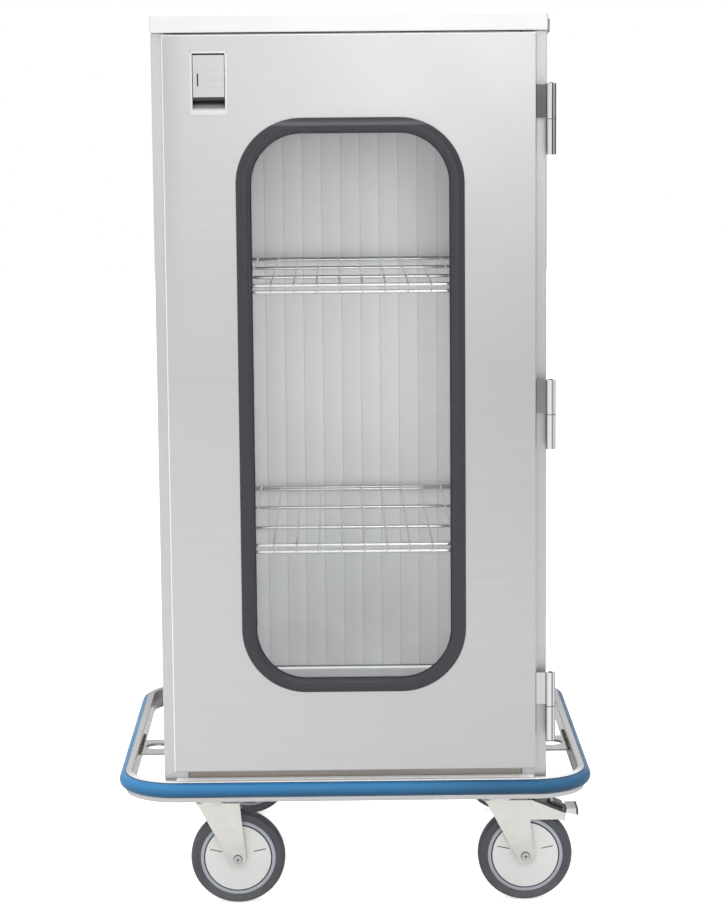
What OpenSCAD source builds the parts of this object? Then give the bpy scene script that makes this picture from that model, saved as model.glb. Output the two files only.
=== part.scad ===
// Closed case cart: a stainless cabinet with one windowed door, on a bumpered chassis with four casters.
// The origin is on the floor under the middle of the bumper. +X is the hinge side, +Y the back, +Z up.

/* [Cabinet] */
// Width across the side panels
body_w = 628; // [580:1:680]
// Depth from the front posts to the back panel
body_d = 658; // [600:1:700]
// Height of the side panels
body_h = 1211; // [1100:1:1300]
// Height of the cover on top
cover_h = 27.5; // [20:0.5:40]
// Thickness of the sheet metal
sheet_t = 2; // [1.5:0.1:2.5]
// Width of the front posts, the front flanges of the side panels
post_w = 40; // [36:1:50]
// Width of post that shows beside the door
post_reveal = 18; // [16:1:22]
// How far each post turns back into the cabinet
post_return = 15; // [12:1:20]
// Width of the flanges at the top and back of the side panels
edge_flange = 20; // [15:1:22]
// Height of the cabinet floor above the underside of the cabinet
floor_rise = 36; // [30:1:50]
// Height of the header rail behind the top of the door
header_h = 42; // [35:1:60]

/* [Door] */
// Thickness of the door
door_t = 21; // [19:0.5:24]
// Gap behind the door that the seal fills
seal_gap = 3; // [2.5:0.1:4]
// Height of the sill that shows under the door
sill_reveal = 16; // [10:1:20]
// Gap between the top of the door and the cover
door_top_gap = 3; // [2:0.5:5]
// Width of the door seal
seal_w = 12; // [8:1:14]
// How far the seal lies inside the door's edge
seal_inset = 4; // [3:0.5:6]

/* [Window] */
// Width of the clear opening inside the gasket
window_w = 314; // [260:1:340]
// Height of the clear opening inside the gasket
window_h = 879; // [700:1:900]
// Height of the opening's lower edge above the door's lower edge
window_rise = 157; // [120:1:200]
// Corner radius of the clear opening
window_r = 80; // [50:1:100]
// Width of the gasket band on the door's face
gasket_w = 25; // [22:0.5:30]
// How far the gasket stands out of the door's face
gasket_h = 9; // [6:0.5:9]
// Thickness of the clear pane
pane_t = 4; // [3:0.5:5]
// Width of the wall round the window behind the door's face
tunnel_t = 2; // [1.5:0.5:3]

/* [Latch] */
// Width of the latch bezel
bezel_w = 60; // [56:1:66]
// Height of the latch bezel
bezel_h = 100; // [96:1:110]
// How far the bezel stands out of the door's face
bezel_t = 1.5; // [1:0.1:2]
// Distance from the door's free edge to the bezel
bezel_inset = 44; // [40:1:60]
// Distance from the door's top edge to the bezel
bezel_drop = 25.5; // [20:0.5:60]
// Depth of the finger recess behind the door's face
recess_d = 16; // [12:0.5:16]
// Thickness of the latch housing's walls
housing_t = 3; // [2:0.5:4]
// Height of the latch paddle
paddle_h = 66; // [55:1:70]
// Thickness of the latch paddle
paddle_t = 4; // [3:0.5:5]
// Radius of the paddle's pivot pin
paddle_pin_r = 2; // [1.5:0.1:2.5]
// Height of the latch bolt
bolt_h = 15; // [10:1:18]
// Thickness of the latch bolt
bolt_t = 8; // [6:0.5:8]
// Travel of the latch bolt
bolt_travel = 12; // [8:1:14]

/* [Hinges] */
// Radius of the hinge barrels
barrel_r = 8; // [6:0.5:9]
// Length of one half of a hinge barrel
barrel_l = 56; // [40:1:70]
// Radius of the hinge pins
hinge_pin_r = 4; // [3:0.1:4.5]
// Thickness of the hinge leaves
leaf_t = 3; // [2.5:0.1:3.5]
// How far a frame leaf reaches back along the side panel
leaf_reach = 48; // [30:1:70]
// Height of the lowest hinge above the door's lower edge
hinge_low = 106; // [80:1:150]
// Height of the middle hinge as a share of the door's height
hinge_mid_share = 0.4908; // [0.4:0.01:0.55]
// Distance of the top hinge below the door's upper edge
hinge_drop = 136; // [128:1:200]
// Gap between the two halves of a barrel
barrel_gap = 0.5; // [0.3:0.1:1]

/* [Shelves] */
// Height of the upper shelf above the cabinet's underside
upper_shelf_rise = 808; // [700:1:900]
// Height of the lower shelf above the cabinet's underside
lower_shelf_rise = 383; // [250:1:450]
// Radius of the shelves' cross bars
bar_r = 3; // [2.5:0.1:4]
// Radius of the thin shelf wires
wire_r = 1.6; // [1.2:0.1:2]
// Distance between the thin shelf wires
wire_pitch = 36.8; // [30:0.1:45]
// Number of thin wires in a shelf
wire_count = 16; // [10:1:16]
// Height between the two front bars of a shelf
front_bar_drop = 11; // [9:0.5:16]
// Width of the ledges that carry the shelves
runner_w = 28; // [24:1:34]
// Height of the ledges' upright legs
runner_h = 20; // [15:1:30]

/* [Chassis and bumper] */
// Height of the chassis channels and of the bumper rail
chassis_h = 35; // [32:0.5:40]
// Width of the chassis channels
channel_w = 30; // [26:1:36]
// Gap between the cabinet's side and the bumper rail
bumper_gap = 57; // [45:1:70]
// Gap between the front posts and the bumper rail
bumper_front_gap = 15; // [12:1:24]
// Gap between the back panel and the bumper rail
bumper_back_gap = 31; // [12:1:50]
// Depth of the bumper rail's flanges
rail_flange = 11; // [9:0.5:18]
// Thickness of the bumper rail's metal
rail_t = 2; // [1.5:0.1:3]
// Height of the chrome lip under the insert
rail_lip = 8.5; // [6:0.5:10]
// Outer corner radius of the bumper rail
rail_r = 88; // [55:1:110]
// How far the insert bulges out of the rail
insert_bulge = 11; // [6:0.5:12]
// Dark gap above and below the insert
insert_gap = 0.6; // [0.4:0.1:1]
// Thickness of the bumper brackets
bracket_t = 5; // [4:0.5:6]
// Width of the bumper brackets
bracket_w = 94; // [70:1:110]
// Distance from the front posts to the middle of a bracket
bracket_back = 264; // [150:1:400]
// Radius of the hole in a bracket
bracket_hole_r = 20; // [12:0.5:22]
// Height of the brackets above the underside of the chassis
bracket_rise = 18; // [12:1:26]

/* [Casters] */
// Radius of the wheels
wheel_r = 78.6; // [70:0.1:82]
// Width of the tyres
tyre_w = 32; // [28:1:34]
// Thickness of the tyres
tyre_t = 15.6; // [10:0.1:17]
// Thickness of the pale ring inside a tyre
ring_t = 6.6; // [5:0.1:9]
// Dark gap between that ring and the hub cap
cap_gap = 1.5; // [1:0.5:3]
// Height of a caster from the floor to the chassis
caster_h = 194; // [192:1:205]
// Distance from the swivel axis to the wheel axle
trail = 43; // [35:1:45]
// Distance of the casters' swivel axes from the cabinet's sides
caster_inset_x = 74; // [72:1:90]
// Distance of the casters' swivel axes from the ends of the chassis
caster_inset_y = 77; // [75:1:95]
// Radius of a wheel axle
axle_r = 4.5; // [4:0.1:6]
// Radius of a kingpin
kingpin_r = 6; // [5:0.1:8]
// Thickness of the forks' metal
fork_t = 4; // [3:0.5:5]
// Width of a fork leg at the top
fork_w = 70.5; // [60:0.5:76]
// Radius of a fork leg's round end
fork_end_r = 14; // [10:0.5:20]
// Radius of the swivel races
race_r = 28; // [24:1:34]
// Thickness of a caster's top plate
plate_t = 4; // [3:0.5:5]
// Width of a caster's top plate
plate_w = 102; // [96:1:108]
// Length of a caster's top plate
plate_l = 100; // [96:1:108]
// Distance between a plate's bolts, sideways
plate_bolts_x = 67; // [60:1:70]
// Distance between a plate's bolts, front to back
plate_bolts_y = 76; // [70:1:78]
// Radius of the casters' bolts
bolt_r = 4; // [3:0.1:5]
// Thickness of the pads that the casters bolt to
pad_t = 5; // [4:0.5:8]

/* [Brake] */
// How far a brake's side wings reach past the axle
wing_reach = 67; // [60:1:72]
// Height of a wing's outer end above the axle
wing_end_rise = 72.4; // [60:0.1:80]
// Radius of the pedal's pivot studs
stud_r = 3; // [2.5:0.1:3.5]
// Thickness of the pedal's plate
pedal_t = 4; // [3:0.5:5]
// How far the pedal's toe reaches past the wings
toe_reach = 21; // [12:1:24]
// Width of the raised tab on the pedal
tab_w = 30; // [20:1:40]
// Height of the raised tab on the pedal
tab_h = 6; // [4:0.5:8]

/* [Hold-back] */
// Distance of the door's hold-back behind the front posts
holdback_back = 542; // [450:1:580]
// Radius of the hold-back's pod
pod_r = 18; // [14:0.5:20]

/* [Hidden] */
running = 0.05;
seat = 0.3;
slack = 0.2;
bite = 0.5;

half_w = body_w / 2;
base_z = caster_h + chassis_h;
body_top = base_z + body_h;
cover_top = body_top + cover_h;
door_stand = door_t + seal_gap;
web_y = (body_d + bumper_front_gap + bumper_back_gap) / 2;
post_y = bumper_front_gap - web_y;
door_y = post_y - door_stand;
door_back_y = door_y + door_t;
back_y = post_y + body_d;
inner_x = half_w - sheet_t;
post_x = half_w - post_w;
inner_back_y = back_y - 2 * sheet_t;
floor_z = base_z + floor_rise;

door_hw = half_w - post_reveal;
door_z = base_z + sill_reveal;
door_top = body_top - door_top_gap;
door_h = door_top - door_z;

window_z = door_z + window_rise + window_h / 2;
cut_out = 10;
neck_in = 3;
groove_floor = 6.5;
skin_lip = 6;
lip_r = gasket_h;
pane_front = 3;
neck_back = pane_front + pane_t + 3;
tunnel_out = cut_out + skin_lip + 2;

bezel_r = 6;
bezel_x = -door_hw + bezel_inset + bezel_w / 2;
bezel_top = door_top - bezel_drop;
bezel_z = bezel_top - bezel_h / 2;
bezel_rim_side = 4.2;
bezel_rim_top = 3.7;
bezel_rim_low = 8.7;
recess_w = bezel_w - 2 * bezel_rim_side;
recess_top = bezel_top - bezel_rim_top;
recess_low = bezel_top - bezel_h + bezel_rim_low;
recess_h = recess_top - recess_low;
paddle_gap = 1;
paddle_w = recess_w - 2 * paddle_gap;
paddle_top = recess_top - 2.5;
paddle_y = door_y + 0.5;
pivot_z = paddle_top - 5.5;
pivot_y = paddle_y + paddle_t + 1;
paddle_low = paddle_top - paddle_h;
slot_w = 2;
slot_h = 20;
slot_x = -0.35;
slot_rise = 17;
latch_grip = housing_t + slack;
case_h = 44;
case_drop = 28;
case_top = recess_top - case_drop;
case_depth = 22;
case_back_y = door_back_y + case_depth;
case_margin = 1.5;
bolt_z = case_top - case_h / 2;
bolt_y = post_y + sheet_t + 2;
bolt_tip_gap = 1.5;
bolt_tip_x = -post_x + sheet_t + bolt_tip_gap;
bolt_l = 48;
bolt_clear = 0.5;
pocket_x = bezel_x - bezel_w / 2 - 1;
pocket_l = bolt_tip_x + bolt_l + bolt_travel - pocket_x;
strike_h = 34;

barrel_tuck = 3.2;
hinge_x = half_w + barrel_r - barrel_tuck;
hinge_y = door_y - 4;
hinge_z = [door_z + hinge_low, door_z + hinge_mid_share * door_h, door_top - hinge_drop];
leaf_clip = 2;
pin_end = barrel_l - 5;

shelf_half = inner_x - 6;
shelf_front_gap = 7;
shelf_back_inset = 13;
shelf_front = post_y + post_return + shelf_front_gap;
shelf_back = inner_back_y - shelf_back_inset;
shelf_z = [base_z + lower_shelf_rise, base_z + upper_shelf_rise];
shelf_l = shelf_back - shelf_front;
bar_shares = [0, 0.28, 0.62, 0.96, 1];
wire_z = bar_r + wire_r - bite;

web_x = half_w + bumper_gap;
cross_l = 2 * min(half_w, web_x - rail_r + rail_flange);
caster_x = half_w - caster_inset_x;
caster_y = web_y - caster_inset_y;
insert_low = caster_h + rail_lip + insert_gap;
insert_high = base_z - rail_t - insert_gap;
insert_h = insert_high - insert_low;
bulge_r = (insert_h * insert_h / 4 + insert_bulge * insert_bulge) / (2 * insert_bulge);
bracket_y = post_y + bracket_back;
bracket_z = caster_h + bracket_rise;

pad_margin = 55;
bolt_hole_r = bolt_r + 0.5;
hex_r = bolt_r + 3.5;
hex_t = 5.5;
crown_z = min(wheel_r * 2 + 13.3, caster_h - plate_t - fork_t - 4);
crown_top = crown_z + fork_t;
race_mid = (crown_top + caster_h - plate_t) / 2;
fork_back = trail + 4;
fork_front = fork_back - fork_w;
leg_y = tyre_w / 2 + 4;
fork_half = leg_y + fork_t;
end_blend = 0.1;
king_nut_t = 6;
king_nut_r = 10;
ring_w = tyre_w - 4;
ring_r = wheel_r - tyre_t;
cap_r = ring_r - ring_t - cap_gap;
web_t = 6;
hub_r = 14;
cap_face = tyre_w / 2 - 0.5;
cap_t = 3;
cap_post_r = 42;
axle_head_r = 6.5;
axle_head_t = 4;

wing_x = trail + wing_reach;
wing_z = wheel_r + wing_end_rise;
wing_low = wheel_r + 62.4;
wing_start = trail + 11;
stud_x = trail + 12;
stud_z = wheel_r + 84.8;
rivet_x = wing_x - 8;
rivet_z = wing_z - 3.5;
rivet_head = 1;
ear_r = 7;
ear_t = 3;
ear_w = 14;
pedal_back = trail + 15;
wing_slope = (wing_z - crown_top) / (wing_x - wing_start);
pedal_lift = 1;

pod_x = half_w + 29;
pod_y = post_y + holdback_back;
pod_low = body_top + 3;
pod_h = 24;

CORNERS = [["fl", -1, -1], ["fr", 1, -1], ["rl", -1, 1], ["rr", 1, 1]];
BRAKED = [CORNERS[1], CORNERS[2]];

$fn = 64;

// Flat rectangle with round corners, centred
module rounded_rect(w, h, r) {
    square([w - 2 * r, h], center = true);
    square([w, h - 2 * r], center = true);
    for (x = [-1, 1], y = [-1, 1]) translate([x * (w / 2 - r), y * (h / 2 - r)]) circle(r);
}

// Stands a flat outline up in the XZ plane, with its front face at y and its thickness t behind it
module upright(y, t) {
    translate([0, y + t, 0]) rotate([90, 0, 0]) linear_extrude(t) children();
}

// Outline of the window's clear opening, grown by out all round
module window_outline(out) {
    translate([0, window_z]) rounded_rect(window_w + 2 * out, window_h + 2 * out, window_r + out);
}

// Sweeps a flat profile round a rounded rectangle of half sizes hx and hy and corner radius r
module ring_sweep(hx, hy, r) {
    for (turn = [0, 180]) {
        rotate(turn) translate([hx, hy - r, 0]) rotate([90, 0, 0])
            linear_extrude(2 * (hy - r)) children();
        rotate(turn + 90) translate([hy, hx - r, 0]) rotate([90, 0, 0])
            linear_extrude(2 * (hx - r)) children();
    }
    for (c = [[1, 1, 0], [-1, 1, 90], [-1, -1, 180], [1, -1, 270]])
        translate([c[0] * (hx - r), c[1] * (hy - r), 0]) rotate(c[2]) rotate_extrude(angle = 90)
            translate([r, 0]) children();
}

// Puts a caster piece, drawn round the swivel axis, at one corner
module at_corner(c) {
    translate([c[1] * caster_x, c[2] * caster_y, 0]) children();
}

// Lays a cylinder along Y, centred on y = 0
module cross_pin(r, l) {
    rotate([90, 0, 0]) cylinder(r = r, h = l, center = true);
}

// Right side panel: outer wall, front post with its return, back and top flanges
module side_panel() {
    color([0.80, 0.80, 0.79]) {
        translate([0, 0, base_z]) linear_extrude(body_h) {
            translate([inner_x, post_y]) square([sheet_t, body_d - sheet_t]);
            translate([post_x, post_y]) square([post_w, sheet_t]);
            translate([post_x, post_y]) square([sheet_t, post_return]);
            translate([half_w - edge_flange, inner_back_y]) square([edge_flange, sheet_t]);
        }
        translate([half_w - edge_flange, post_y, body_top - sheet_t])
            cube([edge_flange, body_d - sheet_t, sheet_t]);
    }
}

module side_panel_right() {
    side_panel();
}

module side_panel_left() {
    mirror([1, 0, 0]) side_panel();
}

module back_panel() {
    color([0.78, 0.78, 0.77]) translate([-half_w, back_y - sheet_t, base_z]) cube([body_w, sheet_t, body_h]);
}

// Cabinet floor with skirts down to the chassis side channels
module floor_pan() {
    pan_x = inner_x - slack;
    pan_y = post_y + post_return;
    pan_l = inner_back_y - pan_y;
    color([0.76, 0.76, 0.75]) {
        translate([-pan_x, pan_y, floor_z - sheet_t]) cube([2 * pan_x, pan_l, sheet_t]);
        for (x = [-pan_x, pan_x - sheet_t]) translate([x, pan_y, base_z]) cube([sheet_t, pan_l, floor_rise]);
    }
}

// Cover: a flat tray turned over, closed by a soffit where it stands out over the door
module top_cover() {
    depth = back_y - door_y;
    color([0.84, 0.84, 0.83]) {
        difference() {
            translate([-half_w, door_y, body_top]) cube([body_w, depth, cover_h]);
            translate([-inner_x, door_y + sheet_t, body_top - 1])
                cube([2 * inner_x, depth - 2 * sheet_t, cover_h - sheet_t + 1]);
        }
        translate([-half_w, door_y, body_top]) cube([body_w, door_stand + post_return, sheet_t]);
    }
}

// Channel between the posts, open to the inside, standing on z from low to high
module cross_rail(low, high) {
    rail_half = post_x - slack;
    translate([-rail_half, post_y, low]) cube([2 * rail_half, sheet_t, high - low]);
    for (z = [low, high - sheet_t])
        translate([-rail_half, post_y, z]) cube([2 * rail_half, post_return, sheet_t]);
}

module front_sill() {
    color([0.45, 0.43, 0.40]) cross_rail(base_z, floor_z);
}

module header_rail() {
    color([0.78, 0.78, 0.77]) cross_rail(body_top - header_h, body_top);
}

// Channel with its open side down, drawn from its lower corner
module down_channel(l, w) {
    difference() {
        cube([l, w, chassis_h]);
        translate([sheet_t, sheet_t, -1]) cube([l - 2 * sheet_t, w - 2 * sheet_t, chassis_h - sheet_t + 1]);
    }
}

module chassis_cross_channels() {
    color([0.78, 0.78, 0.77])
        for (y = [-web_y, web_y - channel_w])
            translate([-cross_l / 2, y, caster_h]) down_channel(cross_l, channel_w);
}

module chassis_side_channels() {
    color([0.78, 0.78, 0.77])
        for (x = [-half_w + channel_w, half_w])
            translate([x, -web_y + channel_w, caster_h]) rotate(90)
                down_channel(2 * (web_y - channel_w), channel_w);
}

// Places something at each of a caster plate's four bolts
module at_plate_bolts() {
    for (x = [-1, 1], y = [-1, 1]) translate([x * plate_bolts_x / 2, y * plate_bolts_y / 2, 0]) children();
}

module caster_pads() {
    pad_in = caster_x - pad_margin;
    color([0.72, 0.72, 0.72])
        for (c = CORNERS)
            difference() {
                translate([c[1] < 0 ? -half_w + channel_w : pad_in,
                           c[2] < 0 ? -web_y + channel_w : caster_y - pad_margin, caster_h])
                    cube([half_w - channel_w - pad_in, web_y - channel_w - caster_y + pad_margin, pad_t]);
                at_corner(c) at_plate_bolts() translate([0, 0, caster_h - 1])
                    cylinder(r = bolt_hole_r, h = pad_t + 2);
            }
}

// Bumper rail: web, top flange and a square lip tube below
module bumper_rail() {
    color([0.86, 0.87, 0.88]) translate([0, 0, caster_h]) ring_sweep(web_x, web_y, rail_r - rail_flange) {
        square([rail_t, chassis_h]);
        translate([0, chassis_h - rail_t]) square([rail_flange, rail_t]);
        square([rail_flange, rail_lip]);
    }
}

// Blue insert, bulging out of the rail's mouth
module bumper_insert() {
    color([0.16, 0.42, 0.68]) ring_sweep(web_x, web_y, rail_r - rail_flange) {
        translate([rail_t, insert_low]) square([rail_flange - rail_t, insert_h]);
        intersection() {
            translate([rail_flange + insert_bulge - bulge_r, insert_low + insert_h / 2]) circle(bulge_r);
            translate([rail_flange, insert_low]) square([insert_bulge + 1, insert_h]);
        }
    }
}

module bumper_bracket() {
    color([0.80, 0.80, 0.80]) difference() {
        translate([half_w, bracket_y - bracket_w / 2, bracket_z]) cube([bumper_gap, bracket_w, bracket_t]);
        translate([half_w + bumper_gap / 2, bracket_y, bracket_z - 1])
            cylinder(r = bracket_hole_r, h = bracket_t + 2);
    }
}

module bumper_bracket_right() {
    bumper_bracket();
}

module bumper_bracket_left() {
    mirror([1, 0, 0]) bumper_bracket();
}

// Ledges on the side panels that carry the shelves
module shelf_runners() {
    runner_l = shelf_l + 16;
    color([0.76, 0.76, 0.76])
        for (side = [0, 1], z = shelf_z)
            mirror([side, 0, 0]) translate([inner_x - runner_w, shelf_front - 5, z - bar_r - sheet_t]) {
                cube([runner_w, runner_l, sheet_t]);
                translate([runner_w - sheet_t, 0, sheet_t - runner_h]) cube([sheet_t, runner_l, runner_h]);
            }
}

// Wire shelf, with its highest cross bars centred on z
module wire_shelf(z) {
    color([0.82, 0.82, 0.82]) translate([0, 0, z]) {
        for (share = bar_shares) translate([0, shelf_front + share * shelf_l, 0]) shelf_bar();
        translate([0, shelf_front, -front_bar_drop]) shelf_bar();
        for (i = [0:wire_count - 1])
            translate([(i - (wire_count - 1) / 2) * wire_pitch, 0, 0]) shelf_wire();
    }
}

module shelf_bar() {
    rotate([0, 90, 0]) cylinder(r = bar_r, h = 2 * shelf_half, center = true, $fn = 24);
}

// Thin wire over the bars, turned down over the two front bars
module shelf_wire() {
    front = shelf_front - bar_r - wire_r + bite;
    length = shelf_back + bar_r - front;
    translate([0, front, wire_z]) {
        rotate([-90, 0, 0]) cylinder(r = wire_r, h = length, $fn = 16);
        sphere(r = wire_r, $fn = 16);
        translate([0, 0, -wire_z - front_bar_drop])
            cylinder(r = wire_r, h = wire_z + front_bar_drop, $fn = 16);
    }
}

module upper_shelf() {
    wire_shelf(shelf_z[1]);
}

module lower_shelf() {
    wire_shelf(shelf_z[0]);
}

// Lower hinge halves, with leaves back along the right side panel
module hinge_frame_leaves() {
    color([0.74, 0.74, 0.76])
        for (z = hinge_z)
            difference() {
                union() {
                    translate([hinge_x, hinge_y, z - barrel_l])
                        cylinder(r = barrel_r, h = barrel_l - barrel_gap / 2);
                    translate([half_w, hinge_y, z - barrel_l + leaf_clip])
                        cube([leaf_t, post_y - hinge_y + leaf_reach, barrel_l - 2 * leaf_clip]);
                }
                translate([hinge_x, hinge_y, z - pin_end]) cylinder(r = hinge_pin_r, h = barrel_l);
            }
}

module hinge_pins() {
    color([0.6, 0.6, 0.62])
        for (z = hinge_z)
            translate([hinge_x, hinge_y, z - pin_end]) cylinder(r = hinge_pin_r, h = 2 * pin_end - 2);
}

// Upper hinge halves, with leaves across the post to the door's edge
module hinge_door_leaves() {
    color([0.74, 0.74, 0.76])
        for (z = hinge_z)
            difference() {
                union() {
                    translate([hinge_x, hinge_y, z + barrel_gap / 2])
                        cylinder(r = barrel_r, h = barrel_l - barrel_gap / 2);
                    translate([door_hw, door_y, z + leaf_clip])
                        cube([hinge_x - door_hw, leaf_t, barrel_l - 2 * leaf_clip]);
                }
                translate([hinge_x, hinge_y, z - 1]) cylinder(r = hinge_pin_r + running, h = pin_end + 1);
            }
}

module strike_plate() {
    color([0.7, 0.7, 0.7])
        translate([-post_x, post_y + sheet_t, bolt_z - strike_h / 2])
            cube([sheet_t, post_return - sheet_t, strike_h]);
}

// Bracket and round pod on the cover's edge that hold the open door back
module door_holdback() {
    foot_t = 2.5;
    arm_t = 3;
    color([0.72, 0.72, 0.73]) {
        translate([half_w, pod_y - 20, body_top]) cube([foot_t, 40, cover_h - 3]);
        translate([half_w, pod_y - 12, body_top]) cube([pod_x - half_w, 24, arm_t]);
        translate([pod_x, pod_y, body_top]) cylinder(r = pod_r - 3, h = arm_t);
        translate([pod_x, pod_y, pod_low]) cylinder(r = pod_r, h = pod_h);
    }
}

// Hexagon bolts up through the caster plates, with their nuts on the pads
module caster_bolts() {
    low = caster_h - plate_t;
    high = caster_h + pad_t;
    color([0.65, 0.65, 0.67])
        for (c = CORNERS) at_corner(c) at_plate_bolts() {
            translate([0, 0, low - hex_t]) cylinder(r = hex_r, h = hex_t, $fn = 6);
            translate([0, 0, low - 1]) cylinder(r = bolt_r, h = high - low + hex_t + 4);
            translate([0, 0, high]) cylinder(r = hex_r, h = hex_t, $fn = 6);
        }
}

// Top plate of a caster with the upper race and the kingpin
module caster_plate(c) {
    low = caster_h - plate_t;
    color([0.74, 0.74, 0.74]) at_corner(c) {
        difference() {
            translate([-plate_w / 2, -plate_l / 2, low]) cube([plate_w, plate_l, plate_t]);
            at_plate_bolts() translate([0, 0, low - 1]) cylinder(r = bolt_hole_r, h = plate_t + 2);
        }
        translate([0, 0, race_mid + seat / 2]) cylinder(r = race_r, h = low - race_mid - seat / 2);
        translate([0, 0, crown_z - seat - king_nut_t]) {
            cylinder(r = kingpin_r, h = low - crown_z + seat + king_nut_t);
            cylinder(r = king_nut_r, h = king_nut_t);
        }
    }
}

// Pressed pan of the door's face, with its window and latch holes
module door_shell() {
    color([0.82, 0.82, 0.81]) {
        upright(door_y, sheet_t) difference() {
            translate([-door_hw, door_z]) square([2 * door_hw, door_h]);
            window_outline(cut_out);
            translate([bezel_x - recess_w / 2 - latch_grip, recess_low - latch_grip])
                square([recess_w + 2 * latch_grip, recess_h + 2 * latch_grip]);
        }
        upright(door_y, door_t) difference() {
            translate([-door_hw, door_z]) square([2 * door_hw, door_h]);
            translate([sheet_t - door_hw, door_z + sheet_t])
                square([2 * (door_hw - sheet_t), door_h - 2 * sheet_t]);
        }
    }
}

// Inner skin of the door with the wall round the window
module door_liner() {
    liner_hw = door_hw - sheet_t;
    color([0.78, 0.78, 0.77]) difference() {
        union() {
            upright(door_back_y - sheet_t, sheet_t)
                translate([-liner_hw, door_z + sheet_t]) square([2 * liner_hw, door_h - 2 * sheet_t]);
            upright(door_y + sheet_t, door_t - sheet_t) window_outline(tunnel_out + tunnel_t);
        }
        upright(door_y, door_t + 1) window_outline(tunnel_out);
        translate([bezel_x - bezel_w / 2 - case_margin, door_y, case_top - case_h - case_margin])
            cube([bezel_w + 2 * case_margin, door_t + 1, case_h + 2 * case_margin]);
    }
}

// Rubber gasket: round lip on the face, neck through the skin, groove for the pane
module window_gasket() {
    color([0.22, 0.24, 0.27]) translate([0, door_y, window_z]) rotate([90, 0, 0])
        ring_sweep(window_w / 2, window_h / 2, window_r) gasket_profile();
}

module gasket_profile() {
    intersection() {
        union() {
            translate([lip_r, 0]) circle(lip_r);
            translate([gasket_w - lip_r, 0]) circle(lip_r);
            translate([lip_r, 0]) square([gasket_w - 2 * lip_r, gasket_h]);
        }
        square([gasket_w, gasket_h]);
    }
    difference() {
        translate([neck_in, -neck_back]) square([cut_out - neck_in, neck_back]);
        translate([0, -pane_front - pane_t]) square([groove_floor, pane_t]);
    }
    translate([cut_out, -sheet_t - 3]) square([skin_lip, 3]);
}

module window_pane() {
    color([0.85, 0.90, 0.92, 0.3]) upright(door_y + pane_front, pane_t) window_outline(groove_floor - seat);
}

module door_seal() {
    seal_hw = door_hw - seal_inset;
    seal_h = door_h - 2 * seal_inset;
    color([0.25, 0.25, 0.26]) upright(door_back_y, seal_gap - seat)
        translate([0, door_z + door_h / 2]) difference() {
            square([2 * seal_hw, seal_h], center = true);
            square([2 * (seal_hw - seal_w), seal_h - 2 * seal_w], center = true);
        }
}

// Latch housing: bezel, finger recess with a sloping floor, and the bolt's case behind
module latch_housing() {
    deep = door_y + recess_d;
    color([0.76, 0.76, 0.76]) difference() {
        union() {
            upright(door_y - bezel_t, bezel_t)
                translate([bezel_x, bezel_z]) rounded_rect(bezel_w, bezel_h, bezel_r);
            translate([bezel_x - recess_w / 2 - housing_t, door_y, recess_low - housing_t])
                cube([recess_w + 2 * housing_t, recess_d + housing_t, recess_h + 2 * housing_t]);
            translate([bezel_x - bezel_w / 2, deep + 1, case_top - case_h])
                cube([bezel_w, case_back_y - deep - 1, case_h]);
        }
        translate([bezel_x - recess_w / 2, 0, 0]) rotate([90, 0, 90]) linear_extrude(recess_w)
            polygon([[door_y - bezel_t - 1, recess_low], [door_y, recess_low], [deep, recess_low + 11],
                     [deep, recess_top], [door_y - bezel_t - 1, recess_top]]);
        translate([bezel_x, pivot_y, pivot_z]) rotate([0, 90, 0])
            cylinder(r = paddle_pin_r + running, h = recess_w + 2 * housing_t - 1, center = true);
        translate([pocket_x, bolt_y - bolt_clear, bolt_z - bolt_h / 2 - bolt_clear])
            cube([pocket_l, bolt_t + 2 * bolt_clear, bolt_h + 2 * bolt_clear]);
    }
}

// Latch paddle with its pivot pin along the top and a narrow slot
module latch_paddle() {
    pin_l = recess_w + 2 * housing_t - 2;
    boss_r = paddle_pin_r + 1.5;
    color([0.84, 0.84, 0.84]) difference() {
        union() {
            translate([bezel_x - paddle_w / 2, paddle_y, paddle_low]) cube([paddle_w, paddle_t, paddle_h]);
            translate([bezel_x, pivot_y, pivot_z]) rotate([0, 90, 0]) {
                cylinder(r = boss_r, h = paddle_w, center = true);
                cylinder(r = paddle_pin_r, h = pin_l, center = true);
            }
        }
        translate([bezel_x + slot_x * paddle_w - slot_w / 2, paddle_y - 1, paddle_low + slot_rise])
            cube([slot_w, 3, slot_h]);
    }
}

// Latch bolt with a bevelled nose
module latch_bolt() {
    nose = 5;
    tail = bolt_l - bolt_clear;
    color([0.7, 0.7, 0.7]) translate([bolt_tip_x, bolt_y, bolt_z - bolt_h / 2]) linear_extrude(bolt_h)
        polygon([[nose, 0], [tail, 0], [tail, bolt_t], [0, bolt_t], [0, bolt_t - 2]]);
}

// Points where lines from p touch the circle of radius r about c, on the side s
function touch(p, c, r, s) =
    let (v = p - c, d = norm(v), a = atan2(v[1], v[0]) + s * acos(r / d)) c + r * [cos(a), sin(a)];

// Outline of a fork leg, with the brake's wing where braked is true
module leg_outline(braked) {
    axle = [trail, wheel_r];
    front = [fork_front, crown_top];
    back = [fork_back, crown_top];
    difference() {
        union() {
            polygon([front, touch(front, axle, fork_end_r - end_blend, 1), axle,
                     touch(back, axle, fork_end_r - end_blend, -1), back]);
            translate(axle) circle(fork_end_r);
            if (braked)
                polygon([[fork_front + 30, crown_top], [wing_start, crown_top], [wing_x, wing_z],
                         [wing_x - 1, wing_low - 2.5], [wing_x - 13, wing_low], [trail + 10, wing_low],
                         [trail, wing_low - 12]]);
        }
        translate(axle) circle(axle_r + running);
    }
}

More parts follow.
